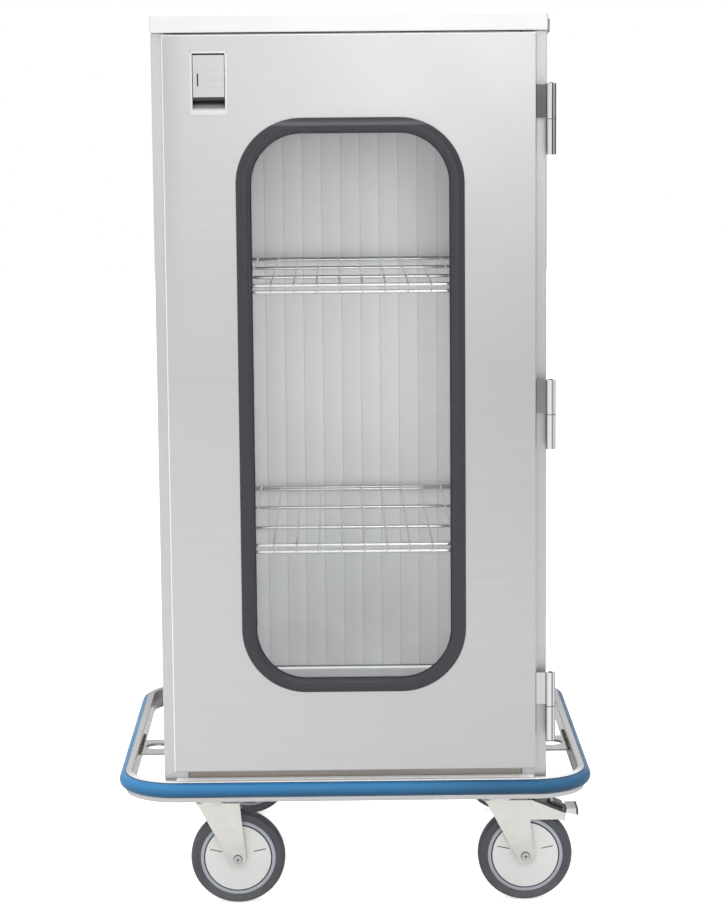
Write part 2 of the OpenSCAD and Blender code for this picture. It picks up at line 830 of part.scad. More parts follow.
// Caster fork: crown, lower race and two legs
module fork(c, braked) {
    color([0.88, 0.87, 0.85]) at_corner(c) {
        difference() {
            union() {
                translate([fork_front, -fork_half, crown_z]) cube([fork_w, 2 * fork_half, fork_t]);
                translate([0, 0, crown_z]) cylinder(r = race_r, h = race_mid - seat / 2 - crown_z);
            }
            translate([0, 0, crown_z - 1]) cylinder(r = kingpin_r + running, h = race_mid - crown_z + 2);
        }
        for (y = [-fork_half, leg_y]) upright(y, fork_t) leg_outline(braked);
        if (braked)
            for (s = [-1, 1]) {
                translate([stud_x, s * (fork_half + rivet_head + tyre_w / 2 + slack) / 2, stud_z])
                    cross_pin(stud_r, fork_half + rivet_head - tyre_w / 2 - slack);
                translate([rivet_x, s * (fork_half + rivet_head + leg_y + 1) / 2, rivet_z])
                    cross_pin(stud_r, fork_half + rivet_head - leg_y - 1);
            }
    }
}

module axle(c) {
    color([0.7, 0.7, 0.7]) at_corner(c) translate([trail, 0, wheel_r]) {
        cross_pin(axle_r, 2 * fork_half);
        for (s = [-1, 1])
            translate([0, s * (fork_half + axle_head_t / 2), 0]) cross_pin(axle_head_r, axle_head_t);
    }
}

// Places a wheel piece, drawn round Z, on its axle
module on_axle(c) {
    at_corner(c) translate([trail, 0, wheel_r]) rotate([90, 0, 0]) children();
}

module tyre(c) {
    crown_r = 6;
    color([0.33, 0.33, 0.37]) on_axle(c) rotate_extrude($fn = 96) intersection() {
        translate([ring_r, -tyre_w / 2]) square([tyre_t, tyre_w]);
        union() {
            translate([ring_r, -tyre_w / 2 + crown_r]) square([tyre_t, tyre_w - 2 * crown_r]);
            translate([ring_r, -tyre_w / 2]) square([tyre_t - crown_r, tyre_w]);
            for (s = [-1, 1]) translate([wheel_r - crown_r, s * (tyre_w / 2 - crown_r)]) circle(crown_r);
        }
    }
}

// Pale rim ring, web and hub of a wheel
module rim(c) {
    color([0.66, 0.70, 0.75]) on_axle(c) rotate_extrude($fn = 96) {
        translate([ring_r - ring_t, -ring_w / 2]) square([ring_t, ring_w]);
        translate([hub_r - 2, -web_t / 2]) square([ring_r - ring_t - hub_r + 3, web_t]);
        translate([axle_r + running, -leg_y + seat]) square([hub_r - axle_r - running, 2 * (leg_y - seat)]);
    }
}

// White caps on both faces of a wheel, each with two narrow slots
module hub_caps(c) {
    color([0.92, 0.92, 0.91]) on_axle(c) for (s = [0, 1]) mirror([0, 0, s]) difference() {
        rotate_extrude($fn = 96) {
            translate([hub_r + slack, cap_face - cap_t]) square([cap_r - hub_r - slack, cap_t]);
            translate([cap_post_r - 2, web_t / 2]) square([2, cap_face - web_t / 2 - 1]);
        }
        for (m = [0, 1]) mirror([m, 0, 0]) translate([27, 10, cap_face - 1]) rotate(12) cube([20, 1.6, 2]);
    }
}

// Brake pedal: sloping plate above the wings, ears on the studs, a thick toe and a raised tab
module brake_pedal(c) {
    ear_y = tyre_w / 2 + slack + 0.3;
    low = [pedal_back, crown_top + (pedal_back - wing_start) * wing_slope + pedal_lift];
    high = [wing_x, wing_z + pedal_lift];
    color([0.55, 0.56, 0.58]) at_corner(c) {
        upright(-fork_half, 2 * fork_half)
            polygon([low, high, high + [toe_reach, -3.5], high + [toe_reach, 7], high + [2, 7],
                     high + [0, pedal_t], low + [0, pedal_t]]);
        upright(-tab_w / 2, tab_w)
            polygon([for (p = [[-4, 2], [-4, pedal_t + tab_h], [-26, pedal_t + tab_h], [-26, 2]])
                high + [p[0], p[0] * wing_slope + p[1]]]);
        for (y = [-ear_y - ear_t, ear_y])
            upright(y, ear_t) difference() {
                union() {
                    translate([stud_x, stud_z]) circle(ear_r);
                    polygon([[stud_x, stud_z], [stud_x + ear_r, stud_z],
                             low + [ear_w, ear_w * wing_slope + 1], low + [0, 1]]);
                }
                translate([stud_x, stud_z]) circle(stud_r + running);
            }
    }
}

side_panel_left();
side_panel_right();
back_panel();
floor_pan();
top_cover();
front_sill();
header_rail();
chassis_cross_channels();
chassis_side_channels();
caster_pads();
bumper_rail();
bumper_insert();
bumper_bracket_left();
bumper_bracket_right();
shelf_runners();
upper_shelf();
lower_shelf();
hinge_frame_leaves();
hinge_pins();
strike_plate();
door_holdback();
caster_bolts();
door_shell();
door_liner();
window_gasket();
window_pane();
door_seal();
hinge_door_leaves();
latch_housing();
latch_paddle();
latch_bolt();
for (c = CORNERS) {
    caster_plate(c);
    fork(c, c[1] != c[2]);
    axle(c);
    rim(c);
    tyre(c);
    hub_caps(c);
}
for (c = BRAKED) brake_pedal(c);
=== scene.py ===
"""Looks of a closed stainless case cart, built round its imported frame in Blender."""

import math
from random import Random

import bmesh
import bpy
from bpy.props import FloatProperty, FloatVectorProperty, IntProperty, PointerProperty
from mathutils import Matrix, Vector


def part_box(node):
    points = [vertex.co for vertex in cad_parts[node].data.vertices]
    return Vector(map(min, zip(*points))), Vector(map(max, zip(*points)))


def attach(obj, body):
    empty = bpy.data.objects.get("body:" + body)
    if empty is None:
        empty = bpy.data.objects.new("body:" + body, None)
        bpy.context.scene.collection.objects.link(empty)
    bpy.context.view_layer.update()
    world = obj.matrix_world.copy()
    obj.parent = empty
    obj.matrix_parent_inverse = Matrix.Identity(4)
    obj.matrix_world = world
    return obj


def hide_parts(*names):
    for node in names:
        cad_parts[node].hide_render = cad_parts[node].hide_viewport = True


bl_info = {
    "name": "Case cart",
    "version": (1, 0, 0),
    "blender": (4, 5, 0),
    "location": "View3D > Sidebar > Case cart",
    "description": "Builds the pieces and finishes of a closed case cart round its packed frame",
    "category": "Add Mesh",
}

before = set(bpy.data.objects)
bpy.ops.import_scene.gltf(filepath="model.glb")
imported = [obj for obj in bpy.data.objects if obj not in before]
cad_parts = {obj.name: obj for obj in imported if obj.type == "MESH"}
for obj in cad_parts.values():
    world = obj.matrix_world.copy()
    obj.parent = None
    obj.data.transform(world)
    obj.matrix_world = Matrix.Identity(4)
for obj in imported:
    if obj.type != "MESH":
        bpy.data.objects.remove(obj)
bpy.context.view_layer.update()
TURN = 2 * math.pi

# Places and sizes that several pieces share, in metres, from the frame's own nodes
DOOR_LOW, DOOR_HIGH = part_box("door_shell")
GASKET_LOW, GASKET_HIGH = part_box("window_gasket")
RAIL_LOW, RAIL_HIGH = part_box("bumper_rail")
BODY_LOW, BODY_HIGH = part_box("side_panel_right")
BACK_LOW, BACK_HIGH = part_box("back_panel")
PADDLE_LOW, PADDLE_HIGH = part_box("latch_paddle")
PIN_LOW, PIN_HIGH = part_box("hinge_pins")
FLOOR_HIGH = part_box("floor_pan")[1]
DOOR_FACE = DOOR_LOW.y
WINDOW_Z = (GASKET_LOW.z + GASKET_HIGH.z) / 2
# Axis of the hinges, and the middle of each: above the door's foot, as a share of the door, below its top
HINGE_X, HINGE_Y = (PIN_LOW.x + PIN_HIGH.x) / 2, (PIN_LOW.y + PIN_HIGH.y) / 2
HINGE_LOW, HINGE_MIDDLE, HINGE_DROP = 0.106, 0.4908, 0.136
# Radius of a hinge's barrel, and its top above the hinge's middle
BARREL_R = 0.0080
BARREL_TOP = 0.056
# Foot and head of the blue insert in its rail
INSERT_FOOT, INSERT_HEAD = RAIL_LOW.z + 0.0091, RAIL_HIGH.z - 0.0026
# From the latch's face back to its case, and the foot and height of the scoop below the paddle
LATCH_DEPTH = 0.0172
SCOOP_FOOT = PADDLE_LOW.z - 0.0191
SCOOP_HEIGHT = 0.022
CORNERS = {"fl": (-1, -1), "fr": (1, -1), "rl": (-1, 1), "rr": (1, 1)}
BRAKED = ("fr", "rl")


# ---- Settings ------------------------------------------------------------------------------------


def colour(name, description, default):
    """A colour setting."""
    return FloatVectorProperty(
        name=name, description=description, subtype="COLOR", size=3, min=0.0, max=1.0, default=default
    )


def length(name, description, default):
    """A length setting in metres."""
    return FloatProperty(name=name, description=description, unit="LENGTH", min=0.0, default=default, precision=5)


class CartMetal(bpy.types.PropertyGroup):
    """Colours and edges of the sheet metal"""

    steel: colour("Panel steel", "Colour of the cabinet's brushed panels", (0.63, 0.635, 0.64))
    door: colour("Door steel", "Colour of the brushed door", (0.62, 0.622, 0.622))
    polished: colour("Polished steel", "Colour of the hinges and the bumper rail", (0.80, 0.80, 0.81))
    caster: colour("Caster steel", "Colour of the casters' pressed steel", (0.78, 0.765, 0.72))
    bend: length("Bend radius", "Outer radius of the folded edges", 0.0018)
    deburr: length("Edge radius", "Radius of the cut edges", 0.0004)


class CartDoor(bpy.types.PropertyGroup):
    """Window of the door"""

    gasket: colour("Gasket", "Colour of the window gasket", (0.032, 0.032, 0.040))
    seam: length("Gasket seam", "Gap at the joint of the gasket", 0.00005)


class CartWall(bpy.types.PropertyGroup):
    """Painted reflection lines of the back wall"""

    first: FloatProperty(name="First line", description="Place of one line along X", unit="LENGTH", default=-0.1192,
                         precision=4)
    pitch: length("Line pitch", "Distance between the lines", 0.0351)
    depth: FloatProperty(name="Line depth", description="How dark the lines are", default=0.3, min=0.0, max=1.0)


class CartBumper(bpy.types.PropertyGroup):
    """Bumper rail and its insert"""

    insert: colour("Insert", "Colour of the bumper insert", (0.026, 0.172, 0.37))
    bulge: length("Bulge", "How far the insert stands out of the rail", 0.011)
    flange: length("Flange", "Depth of the rail's flanges", 0.011)
    corner: length("Corner", "Inner corner radius of the rail", 0.077)


class CartShelf(bpy.types.PropertyGroup):
    """Wire shelves"""

    pitch: length("Wire pitch", "Distance between the thin wires", 0.0368)
    count: IntProperty(name="Wires", description="Number of thin wires in a shelf", default=16, min=2)
    bar: length("Bar radius", "Radius of the cross bars", 0.003)
    wire: length("Wire radius", "Radius of the thin wires", 0.0016)


class CartWheel(bpy.types.PropertyGroup):
    """Casters' wheels"""

    tyre: colour("Tyre", "Colour of the tyres", (0.075, 0.075, 0.092))
    ring: colour("Ring", "Colour of the ring inside a tyre", (0.46, 0.50, 0.56))
    cap: colour("Cap", "Colour of the hub caps", (0.80, 0.80, 0.785))


class CartStage(bpy.types.PropertyGroup):
    """Floor, lights and camera"""

    floor: colour("Floor", "Colour of the floor", (0.90, 0.90, 0.90))
    glow: FloatProperty(name="Floor lift", description="White added to the floor that the camera sees",
                        default=0.7, min=0.0)
    key: FloatProperty(name="Key", description="Power of the softbox above the camera in watts", default=9.0, min=0.0)
    fill: FloatProperty(name="Fill", description="Power of the light overhead in watts", default=16.0, min=0.0)
    inside: FloatProperty(name="Inside", description="Power of each soft light inside the cabinet in watts",
                          default=1.9, min=0.0)
    sky: FloatProperty(name="Sky", description="Strength of the studio's white surround", default=1.0, min=0.0)


# ---- Meshes --------------------------------------------------------------------------------------


def new_object(name, mesh):
    """Links a new object with this mesh to the scene."""
    thing = bpy.data.objects.new(name, mesh)
    bpy.context.scene.collection.objects.link(thing)
    return thing


def mesh_from(bm, name):
    """Merges doubles, turns the faces outwards and writes a smooth mesh."""
    bmesh.ops.remove_doubles(bm, verts=bm.verts, dist=1e-6)
    bmesh.ops.recalc_face_normals(bm, faces=bm.faces)
    mesh = bpy.data.meshes.new(name)
    bm.to_mesh(mesh)
    bm.free()
    smooth(mesh)
    return mesh


def smooth(mesh, angle=35.0):
    """Shades a mesh smooth, with sharp edges past an angle in degrees."""
    mesh.polygons.foreach_set("use_smooth", [True] * len(mesh.polygons))
    mesh.set_sharp_from_angle(angle=math.radians(angle))


def settle(thing):
    """Turns an object's modifiers into plain mesh."""
    graph = bpy.context.evaluated_depsgraph_get()
    graph.update()
    mesh = bpy.data.meshes.new_from_object(
        thing.evaluated_get(graph), preserve_all_data_layers=True, depsgraph=graph
    )
    thing.modifiers.clear()
    thing.data = mesh
    return thing


def rounded_copy(node, name, light, heavy, is_heavy):
    """Copies a node's mesh, merged, with rounded edges: heavy ones where is_heavy says so."""
    bm = bmesh.new()
    bm.from_mesh(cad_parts[node].data)
    bmesh.ops.remove_doubles(bm, verts=bm.verts, dist=1e-5)
    bmesh.ops.dissolve_limit(bm, angle_limit=math.radians(0.8), verts=bm.verts, edges=bm.edges)
    width = max(light, heavy)
    weights = bm.edges.layers.float.new("bevel_weight_edge")
    for edge in bm.edges:
        if len(edge.link_faces) == 2 and edge.calc_face_angle(0.0) > math.radians(35):
            marked = is_heavy is not None and is_heavy(edge.verts[0].co, edge.verts[1].co)
            edge[weights] = (heavy if marked else light) / width
    mesh = bpy.data.meshes.new(name)
    bm.to_mesh(mesh)
    bm.free()
    smooth(mesh)
    thing = new_object(name, mesh)
    bevel = thing.modifiers.new("Rounded edges", "BEVEL")
    bevel.width = width
    bevel.segments = 3
    bevel.limit_method = "WEIGHT"
    bevel.harden_normals = True
    bevel.miter_outer = "MITER_SHARP"
    even = thing.modifiers.new("Face weighted normals", "WEIGHTED_NORMAL")
    even.keep_sharp = True
    return settle(thing)


def on_two_planes(low, high, axes="xyz", slack=1e-5):
    """A test for edges that lie on two outer planes of a box, such as its folds."""

    def test(a, b):
        planes = 0
        for axis in axes:
            for limit in (getattr(low, axis), getattr(high, axis)):
                if abs(getattr(a, axis) - limit) < slack and abs(getattr(b, axis) - limit) < slack:
                    planes += 1
        return planes >= 2

    return test


def rounded(corners, steps=4):
    """Turns (u, v, radius) corners into the points of a closed outline with round corners."""
    points = []
    for i, (u, v, radius) in enumerate(corners):
        here = Vector((u, v))
        before = Vector(corners[i - 1][:2]) - here
        after = Vector(corners[(i + 1) % len(corners)][:2]) - here
        if radius <= 0:
            points.append(here)
            continue
        half = before.angle(after) / 2
        reach = min(radius / math.tan(half), 0.49 * before.length, 0.49 * after.length)
        arm = reach * math.tan(half) / math.sin(half)
        centre = here + (before.normalized() + after.normalized()).normalized() * arm
        start = here + before.normalized() * reach - centre
        end = here + after.normalized() * reach - centre
        turn = math.atan2(start.x * end.y - start.y * end.x, start.dot(end))
        for k in range(steps + 1):
            c, s = math.cos(turn * k / steps), math.sin(turn * k / steps)
            points.append(centre + Vector((start.x * c - start.y * s, start.x * s + start.y * c)))
    return points


def rounded_rect(hx, hy, radius, steps=12):
    """Stations (x, y, nx, ny) round a rounded rectangle, anticlockwise from the middle of its top side."""
    stations = [(0.0, hy, 0.0, 1.0)]
    for sx, sy, first in ((-1, 1, 90), (-1, -1, 180), (1, -1, 270), (1, 1, 0)):
        for k in range(steps + 1):
            a = math.radians(first + 90 * k / steps)
            c, s = math.cos(a), math.sin(a)
            stations.append((sx * (hx - radius) + radius * c, sy * (hy - radius) + radius * s, c, s))
    return stations


def swept(bm, stations, profile, place, closed=True):
    """Sweeps a closed profile of (u, v) round stations: u goes along a station's normal, v along the lift."""
    rings = [[bm.verts.new(place(x + nx * p[0], y + ny * p[0], p[1])) for p in profile] for x, y, nx, ny in stations]
    count = len(profile)
    pairs = list(zip(rings, rings[1:])) + ([(rings[-1], rings[0])] if closed else [])
    for one, two in pairs:
        for j in range(count):
            k = (j + 1) % count
            bm.faces.new((one[j], one[k], two[k], two[j]))
    if not closed:
        bm.faces.new(rings[0])
        bm.faces.new(rings[-1][::-1])


def turned(bm, centre, profile, axis="y", steps=64, closed=True):
    """Turns a profile of (radius, lift) points about an axis through centre."""
    c = Vector(centre)
    rings = []
    for i in range(steps):
        a = TURN * i / steps
        ring = []
        for radius, lift in profile:
            x, y = radius * math.cos(a), radius * math.sin(a)
            ring.append(bm.verts.new(c + Vector((x, lift, y) if axis == "y" else (x, y, lift))))
        rings.append(ring)
    count = len(profile)
    for i in range(steps):
        one, two = rings[i], rings[(i + 1) % steps]
        for j in range(count if closed else count - 1):
            k = (j + 1) % count
            bm.faces.new((one[j], one[k], two[k], two[j]))


def prism(bm, outline, low, high, place):
    """A closed solid: an outline of (u, v) points from lift low to lift high."""
    bottom = [bm.verts.new(place(p[0], p[1], low)) for p in outline]
    top = [bm.verts.new(place(p[0], p[1], high)) for p in outline]
    bm.faces.new(bottom)
    bm.faces.new(top[::-1])
    for j in range(len(outline)):
        k = (j + 1) % len(outline)
        bm.faces.new((bottom[j], top[j], top[k], bottom[k]))


def flat_place(x, y, z):
    """Lift along Z."""
    return Vector((x, y, z))


def dress(thing, body, slot, finish, *replaced):
    """Gives a piece its finish and its body, and hides the nodes it stands for. The slot is not used."""
    thing.data.materials.clear()
    thing.data.materials.append(material(finish))
    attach(thing, body)
    if replaced:
        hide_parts(*replaced)
    return thing


def piece(bm, name, body, slot, finish, *replaced):
    """Makes a dressed piece of a mesh under construction."""
    return dress(new_object(name, mesh_from(bm, name)), body, slot, finish, *replaced)


def rounded_piece(node, name, body, slot, finish, light, heavy=0.0, is_heavy=None):
    """Stands a rounded and dressed copy in for a node."""
    return dress(rounded_copy(node, name, light, heavy, is_heavy), body, slot, finish, node)


def repaint(node, finish):
    """Gives a node that stays a better material."""
    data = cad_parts[node].data
    if not data.materials:
        data.materials.append(None)
    for i in range(len(data.materials)):
        data.materials[i] = material(finish)


# ---- Geometry Nodes ------------------------------------------------------------------------------


def geometry_tree(name, inputs):
    """A new geometry tree with a geometry input, these inputs and a geometry output."""
    tree = bpy.data.node_groups.new(name, "GeometryNodeTree")
    tree.interface.new_socket("Geometry", in_out="INPUT", socket_type="NodeSocketGeometry")
    for label, kind in inputs:
        tree.interface.new_socket(label, in_out="INPUT", socket_type=kind)
    tree.interface.new_socket("Geometry", in_out="OUTPUT", socket_type="NodeSocketGeometry")
    return tree, tree.nodes.new("NodeGroupInput"), tree.nodes.new("NodeGroupOutput")


def close_tree(tree, source, out, shown, material_socket):
    """Ends a tree in Realize Instances and Set Material."""
    real = tree.nodes.new("GeometryNodeRealizeInstances")
    paint = tree.nodes.new("GeometryNodeSetMaterial")
    tree.links.new(shown, real.inputs[0])
    tree.links.new(real.outputs[0], paint.inputs["Geometry"])
    tree.links.new(source.outputs[material_socket], paint.inputs["Material"])
    tree.links.new(paint.outputs[0], out.inputs[0])


def run_tree(thing, tree, values):
    """Runs a geometry tree on an object with these input values and keeps the plain mesh."""
    nodes = thing.modifiers.new(tree.name, "NODES")
    nodes.node_group = tree
    for item in tree.interface.items_tree:
        if item.item_type == "SOCKET" and item.in_out == "INPUT" and item.name in values:
            nodes[item.identifier] = values[item.name]
    return settle(thing)


def copies_tree():
    """Tree that sets a copy of one object on every point of a mesh, turned by the points' turn attribute."""
    name = "Copies on points"
    if name in bpy.data.node_groups:
        return bpy.data.node_groups[name]
    tree, source, out = geometry_tree(
        name, (("Pattern", "NodeSocketObject"), ("Finish", "NodeSocketMaterial"))
    )
    pattern = tree.nodes.new("GeometryNodeObjectInfo")
    turn = tree.nodes.new("GeometryNodeInputNamedAttribute")
    turn.data_type = "FLOAT_VECTOR"
    turn.inputs["Name"].default_value = "turn"
    put = tree.nodes.new("GeometryNodeInstanceOnPoints")
    tree.links.new(source.outputs["Pattern"], pattern.inputs["Object"])
    tree.links.new(source.outputs["Geometry"], put.inputs["Points"])
    tree.links.new(pattern.outputs["Geometry"], put.inputs["Instance"])
    tree.links.new(turn.outputs[0], put.inputs["Rotation"])
    close_tree(tree, source, out, put.outputs[0], "Finish")
    return tree


def copies(name, pattern_mesh, places, finish):
    """One piece made of copies of a mesh at (point, euler) places."""
    pattern = new_object(name + "_pattern", pattern_mesh)
    mesh = bpy.data.meshes.new(name)
    mesh.from_pydata([p for p, _ in places], [], [])
    turns = mesh.attributes.new("turn", "FLOAT_VECTOR", "POINT")
    for i, (_, euler) in enumerate(places):
        turns.data[i].vector = euler
    thing = run_tree(new_object(name, mesh), copies_tree(), {"Pattern": pattern, "Finish": material(finish)})
    bpy.data.objects.remove(pattern)
    return thing


# ---- Finishes ------------------------------------------------------------------------------------

# How fine brushing marks are along X, Y and Z
ACROSS = (9.0, 9.0, 1400.0)
FINE_ACROSS = (14.0, 14.0, 2600.0)
UPWARD = (1400.0, 1400.0, 9.0)
LENGTHWISE = (1400.0, 9.0, 1400.0)
ALL_WAYS = (700.0, 700.0, 700.0)
WHITE = (1.0, 1.0, 1.0, 1.0)

# Painted light and shade by share of the reach named by each: painted reflections of a studio's walls in the metal,
# painted shade in the latch's scoop, and painted shading and highlights on the blue insert and the gasket
SCOOP_TONES = ((0.0, 0.85), (0.04, 0.60), (0.15, 0.62), (0.22, 0.75), (0.29, 0.50), (0.37, 0.28), (0.44, 0.13),
               (0.51, 0.05), (0.59, 0.03), (0.66, 0.16), (0.74, 0.24), (1.0, 0.22))
LEAF_TONES = ((0.0, 0.62), (0.2, 0.60), (0.45, 0.27), (0.6, 0.20), (0.85, 0.14), (1.0, 0.14))
LIP_TONES = ((0.0, 0.62), (0.2, 0.66), (0.30, 0.70), (0.34, 1.0), (1.0, 1.0))
RAIL_TONES = ((0.0, 1.0), (0.04, 1.0), (0.10, 0.50), (0.55, 0.45), (0.85, 0.30), (1.0, 0.30))
INSERT_TONES = ((0.0, 0.15), (0.06, 0.5), (0.25, 0.60), (0.5, 0.95), (0.7, 1.2), (0.88, 1.3), (1.0, 1.0))
INSERT_ACROSS = ((0.0, 1.1), (0.35, 1.0), (0.6, 0.95), (0.8, 0.62), (1.0, 0.55))
HEIGHT_LEFT = ((0.0, 1.0), (0.3, 0.97), (0.555, 0.90), (0.8, 0.94), (1.0, 0.97))
HEIGHT_RIGHT = ((0.0, 0.90), (0.19, 0.90), (0.35, 0.84), (0.555, 0.77), (0.69, 0.82), (0.78, 0.87), (0.93, 1.0))
BARREL_TONES = ((0.0, 0.33), (0.10, 0.70), (0.30, 1.0), (0.45, 1.0), (0.54, 0.8), (0.61, 0.36), (0.70, 0.36),
                (0.77, 0.95), (0.83, 0.95), (0.90, 0.33), (1.0, 0.36))
WALL_TONES = ((0.0, 0.96), (0.25, 0.92), (0.5, 0.86), (0.75, 0.96), (1.0, 1.0))
GASKET_TONES = ((0.0, 1.0), (0.45, 1.0), (0.60, 3.6), (0.74, 2.4), (0.86, 0.9), (1.0, 0.8))


def plug(tree, socket, value):
    """Links an input to a socket, or sets it to a value."""
    if isinstance(value, bpy.types.NodeSocket):
        tree.links.new(value, socket)
    else:
        socket.default_value = value


def add(tree, kind, links=None, **values):
    """Adds a node, sets its settings and fills its inputs."""
    node = tree.nodes.new(kind)
    for key, value in values.items():
        setattr(node, key, value)
    for key, value in (links or {}).items():
        plug(tree, node.inputs[key], value)
    return node


def calc(tree, operation, *values):
    """The result of a Math node."""
    return add(tree, "ShaderNodeMath", dict(enumerate(values)), operation=operation).outputs[0]


def tinted(tree, base, tone):
    """Multiplies two colours or vectors."""
    return add(tree, "ShaderNodeVectorMath", {0: base, 1: tone}, operation="MULTIPLY").outputs[0]


def noise(tree, where, scale, detail, **more):
    """Noise at a scale."""
    return add(tree, "ShaderNodeTexNoise", {"Vector": where, "Scale": scale, "Detail": detail, **more}).outputs[0]


def ranged(tree, value, low, high, new_low=0.0, new_high=1.0):
    """Maps a value onto a range."""
    return add(tree, "ShaderNodeMapRange", {
        "Value": value, "From Min": low, "From Max": high, "To Min": new_low, "To Max": new_high}).outputs[0]


def along(tree, where, axis, low, high):
    """A mask that rises from 0 to 1 between two places along one axis of the object."""
    return ranged(tree, add(tree, "ShaderNodeSeparateXYZ", {0: where}).outputs[axis], low, high)


def colour_mix(tree, factor, one, two):
    """Mixes two colours."""
    mix = add(tree, "ShaderNodeMix", data_type="RGBA")
    tree.links.new(factor, mix.inputs["Factor"])
    for socket, value in zip([s for s in mix.inputs if s.type == "RGBA"], (one, two)):
        plug(tree, socket, value)
    return [s for s in mix.outputs if s.type == "RGBA"][0]


def grey_ramp(tree, factor, stops):
    """A ramp of greys."""
    ramp = add(tree, "ShaderNodeValToRGB", {0: factor})
    marks = ramp.color_ramp.elements
    marks[0].position, marks[1].position = stops[0][0], stops[-1][0]
    for level, mark in ((stops[0][1], marks[0]), (stops[-1][1], marks[1])):
        mark.color = (level, level, level, 1.0)
    for position, level in stops[1:-1]:
        marks.new(position).color = (level, level, level, 1.0)
    return ramp.outputs[0]


def build_grain(tree, put):
    """Fine stretched noise: the marks of a brushing belt."""
    fine = tinted(tree, put["Vector"], put["Stretch"])
    wide = add(tree, "ShaderNodeVectorMath", {0: fine, "Scale": 0.12}, operation="SCALE").outputs[0]
    return calc(tree, "MULTIPLY", calc(tree, "ADD", noise(tree, fine, 1.0, 3.0), noise(tree, wide, 1.0, 1.0)), 0.5)


def build_marks(tree, put):
    """Soft patches of wiping and handling."""
    return ranged(tree, noise(tree, put["Vector"], put["Size"], 4.0, Roughness=0.55, Distortion=0.4), 0.42, 0.68)


def build_moulding(tree, put):
    """Fine skin of moulded rubber or plastic."""
    cells = add(tree, "ShaderNodeTexVoronoi", {"Vector": put["Vector"], "Scale": put["Size"]})
    return calc(tree, "MULTIPLY", cells.outputs["Distance"], noise(tree, put["Vector"], put["Size"], 3.0))


def build_dust(tree, put):
    """Dust that thins out above the floor."""
    fall = along(tree, put["Vector"], "Z", put["Height"], 0.0)
    return calc(tree, "MULTIPLY", fall, noise(tree, put["Vector"], 90.0, 5.0))


def build_lines(tree, put):
    """Thin upright lines at an even pitch along X, each with a soft band beside it: painted reflections of the shelf
    wires.
    """
    x = add(tree, "ShaderNodeSeparateXYZ", {0: put["Vector"]}).outputs["X"]
    near = calc(tree, "FRACT", calc(tree, "DIVIDE", calc(tree, "SUBTRACT", x, put["First"]), put["Pitch"]))
    middle = calc(tree, "ABSOLUTE", calc(tree, "SUBTRACT", near, 0.5))
    return calc(tree, "MAXIMUM", ranged(tree, middle, 0.465, 0.49), ranged(tree, near, 0.0, 1.0, 0.35, 0.0))


GROUPS = {
    "Brushed grain": (build_grain, (("Stretch", "NodeSocketVector"),)),
    "Handling marks": (build_marks, (("Size", "NodeSocketFloat"),)),
    "Moulded skin": (build_moulding, (("Size", "NodeSocketFloat"),)),
    "Floor dust": (build_dust, (("Height", "NodeSocketFloat"),)),
    "Upright lines": (build_lines, (("First", "NodeSocketFloat"), ("Pitch", "NodeSocketFloat"))),
}


def use_group(tree, name, where, **links):
    """The mask that a shader node group puts out. The group is built the first time."""
    if name not in bpy.data.node_groups:
        build, inputs = GROUPS[name]
        inner = bpy.data.node_groups.new(name, "ShaderNodeTree")
        for label, kind in (("Vector", "NodeSocketVector"), *inputs):
            inner.interface.new_socket(label, in_out="INPUT", socket_type=kind)
        inner.interface.new_socket("Mask", in_out="OUTPUT", socket_type="NodeSocketFloat")
        source, out = inner.nodes.new("NodeGroupInput"), inner.nodes.new("NodeGroupOutput")
        inner.links.new(build(inner, source.outputs), out.inputs[0])
    return add(tree, "ShaderNodeGroup", {"Vector": where, **links}, node_tree=bpy.data.node_groups[name]).outputs[0]


def blank_material(name):
    """A material with an empty Principled shader and Object coordinates."""
    mat = bpy.data.materials.new(name)
    mat.use_nodes = True
    tree = mat.node_tree
    tree.nodes.clear()
    shader = tree.nodes.new("ShaderNodeBsdfPrincipled")
    add(tree, "ShaderNodeOutputMaterial", {"Surface": shader.outputs[0]})
    return mat, tree, shader, tree.nodes.new("ShaderNodeTexCoord").outputs["Object"]


def shade(rgb, factor):
    """A colour made darker or lighter."""
    return tuple(min(1.0, c * factor) for c in rgb[:3]) + (1.0,)


def close_finish(tree, shader, where, base, rough, height, bump, strength, tone, constants):
    """Plugs colour, roughness and relief into the shader, the colour toned and the constants set."""
    plug(tree, shader.inputs["Base Color"], tone(tree, where, base) if tone else base)
    plug(tree, shader.inputs["Roughness"], rough)
    relief = add(tree, "ShaderNodeBump", {"Height": height, "Distance": bump, "Strength": strength})
    plug(tree, shader.inputs["Normal"], relief.outputs[0])
    for key, value in (constants or {}).items():
        shader.inputs[key].default_value = value


def metal(name, rgb, rough, stretch, spread=0.06, dark=0.9, bump=0.00002, marks=6.0, dust=None, drawn=0.0, bare=1.0,
          tone=None, constants=None):
    """Brushed or polished metal: grain in colour, roughness and bump, and soft handling marks."""
    mat, tree, shader, where = blank_material(name)
    shader.inputs["Metallic"].default_value = bare
    if drawn:
        round_z = add(tree, "ShaderNodeTangent", direction_type="RADIAL", axis="Z")
        plug(tree, shader.inputs["Tangent"], round_z.outputs[0])
        shader.inputs["Anisotropic"].default_value = drawn
        shader.inputs["Anisotropic Rotation"].default_value = 0.25
    grain = use_group(tree, "Brushed grain", where, Stretch=stretch)
    wiped = use_group(tree, "Handling marks", where, Size=marks)
    base = colour_mix(tree, ranged(tree, grain, 0.35, 0.65), shade(rgb, dark), shade(rgb, 1.03))
    base = colour_mix(tree, ranged(tree, wiped, 0.0, 1.0, 0.0, 0.5), base, shade(rgb, 0.5 + dark / 2))
    if dust:
        base = colour_mix(tree, use_group(tree, "Floor dust", where, Height=dust), base, (0.30, 0.28, 0.25, 1.0))
    uneven = calc(tree, "ADD", grain, ranged(tree, wiped, 0.0, 1.0, 0.0, 0.25))
    rough = ranged(tree, uneven, 0.3, 0.9, rough - spread, rough + spread)
    close_finish(tree, shader, where, base, rough, grain, bump, 0.6, tone, constants)
    return mat


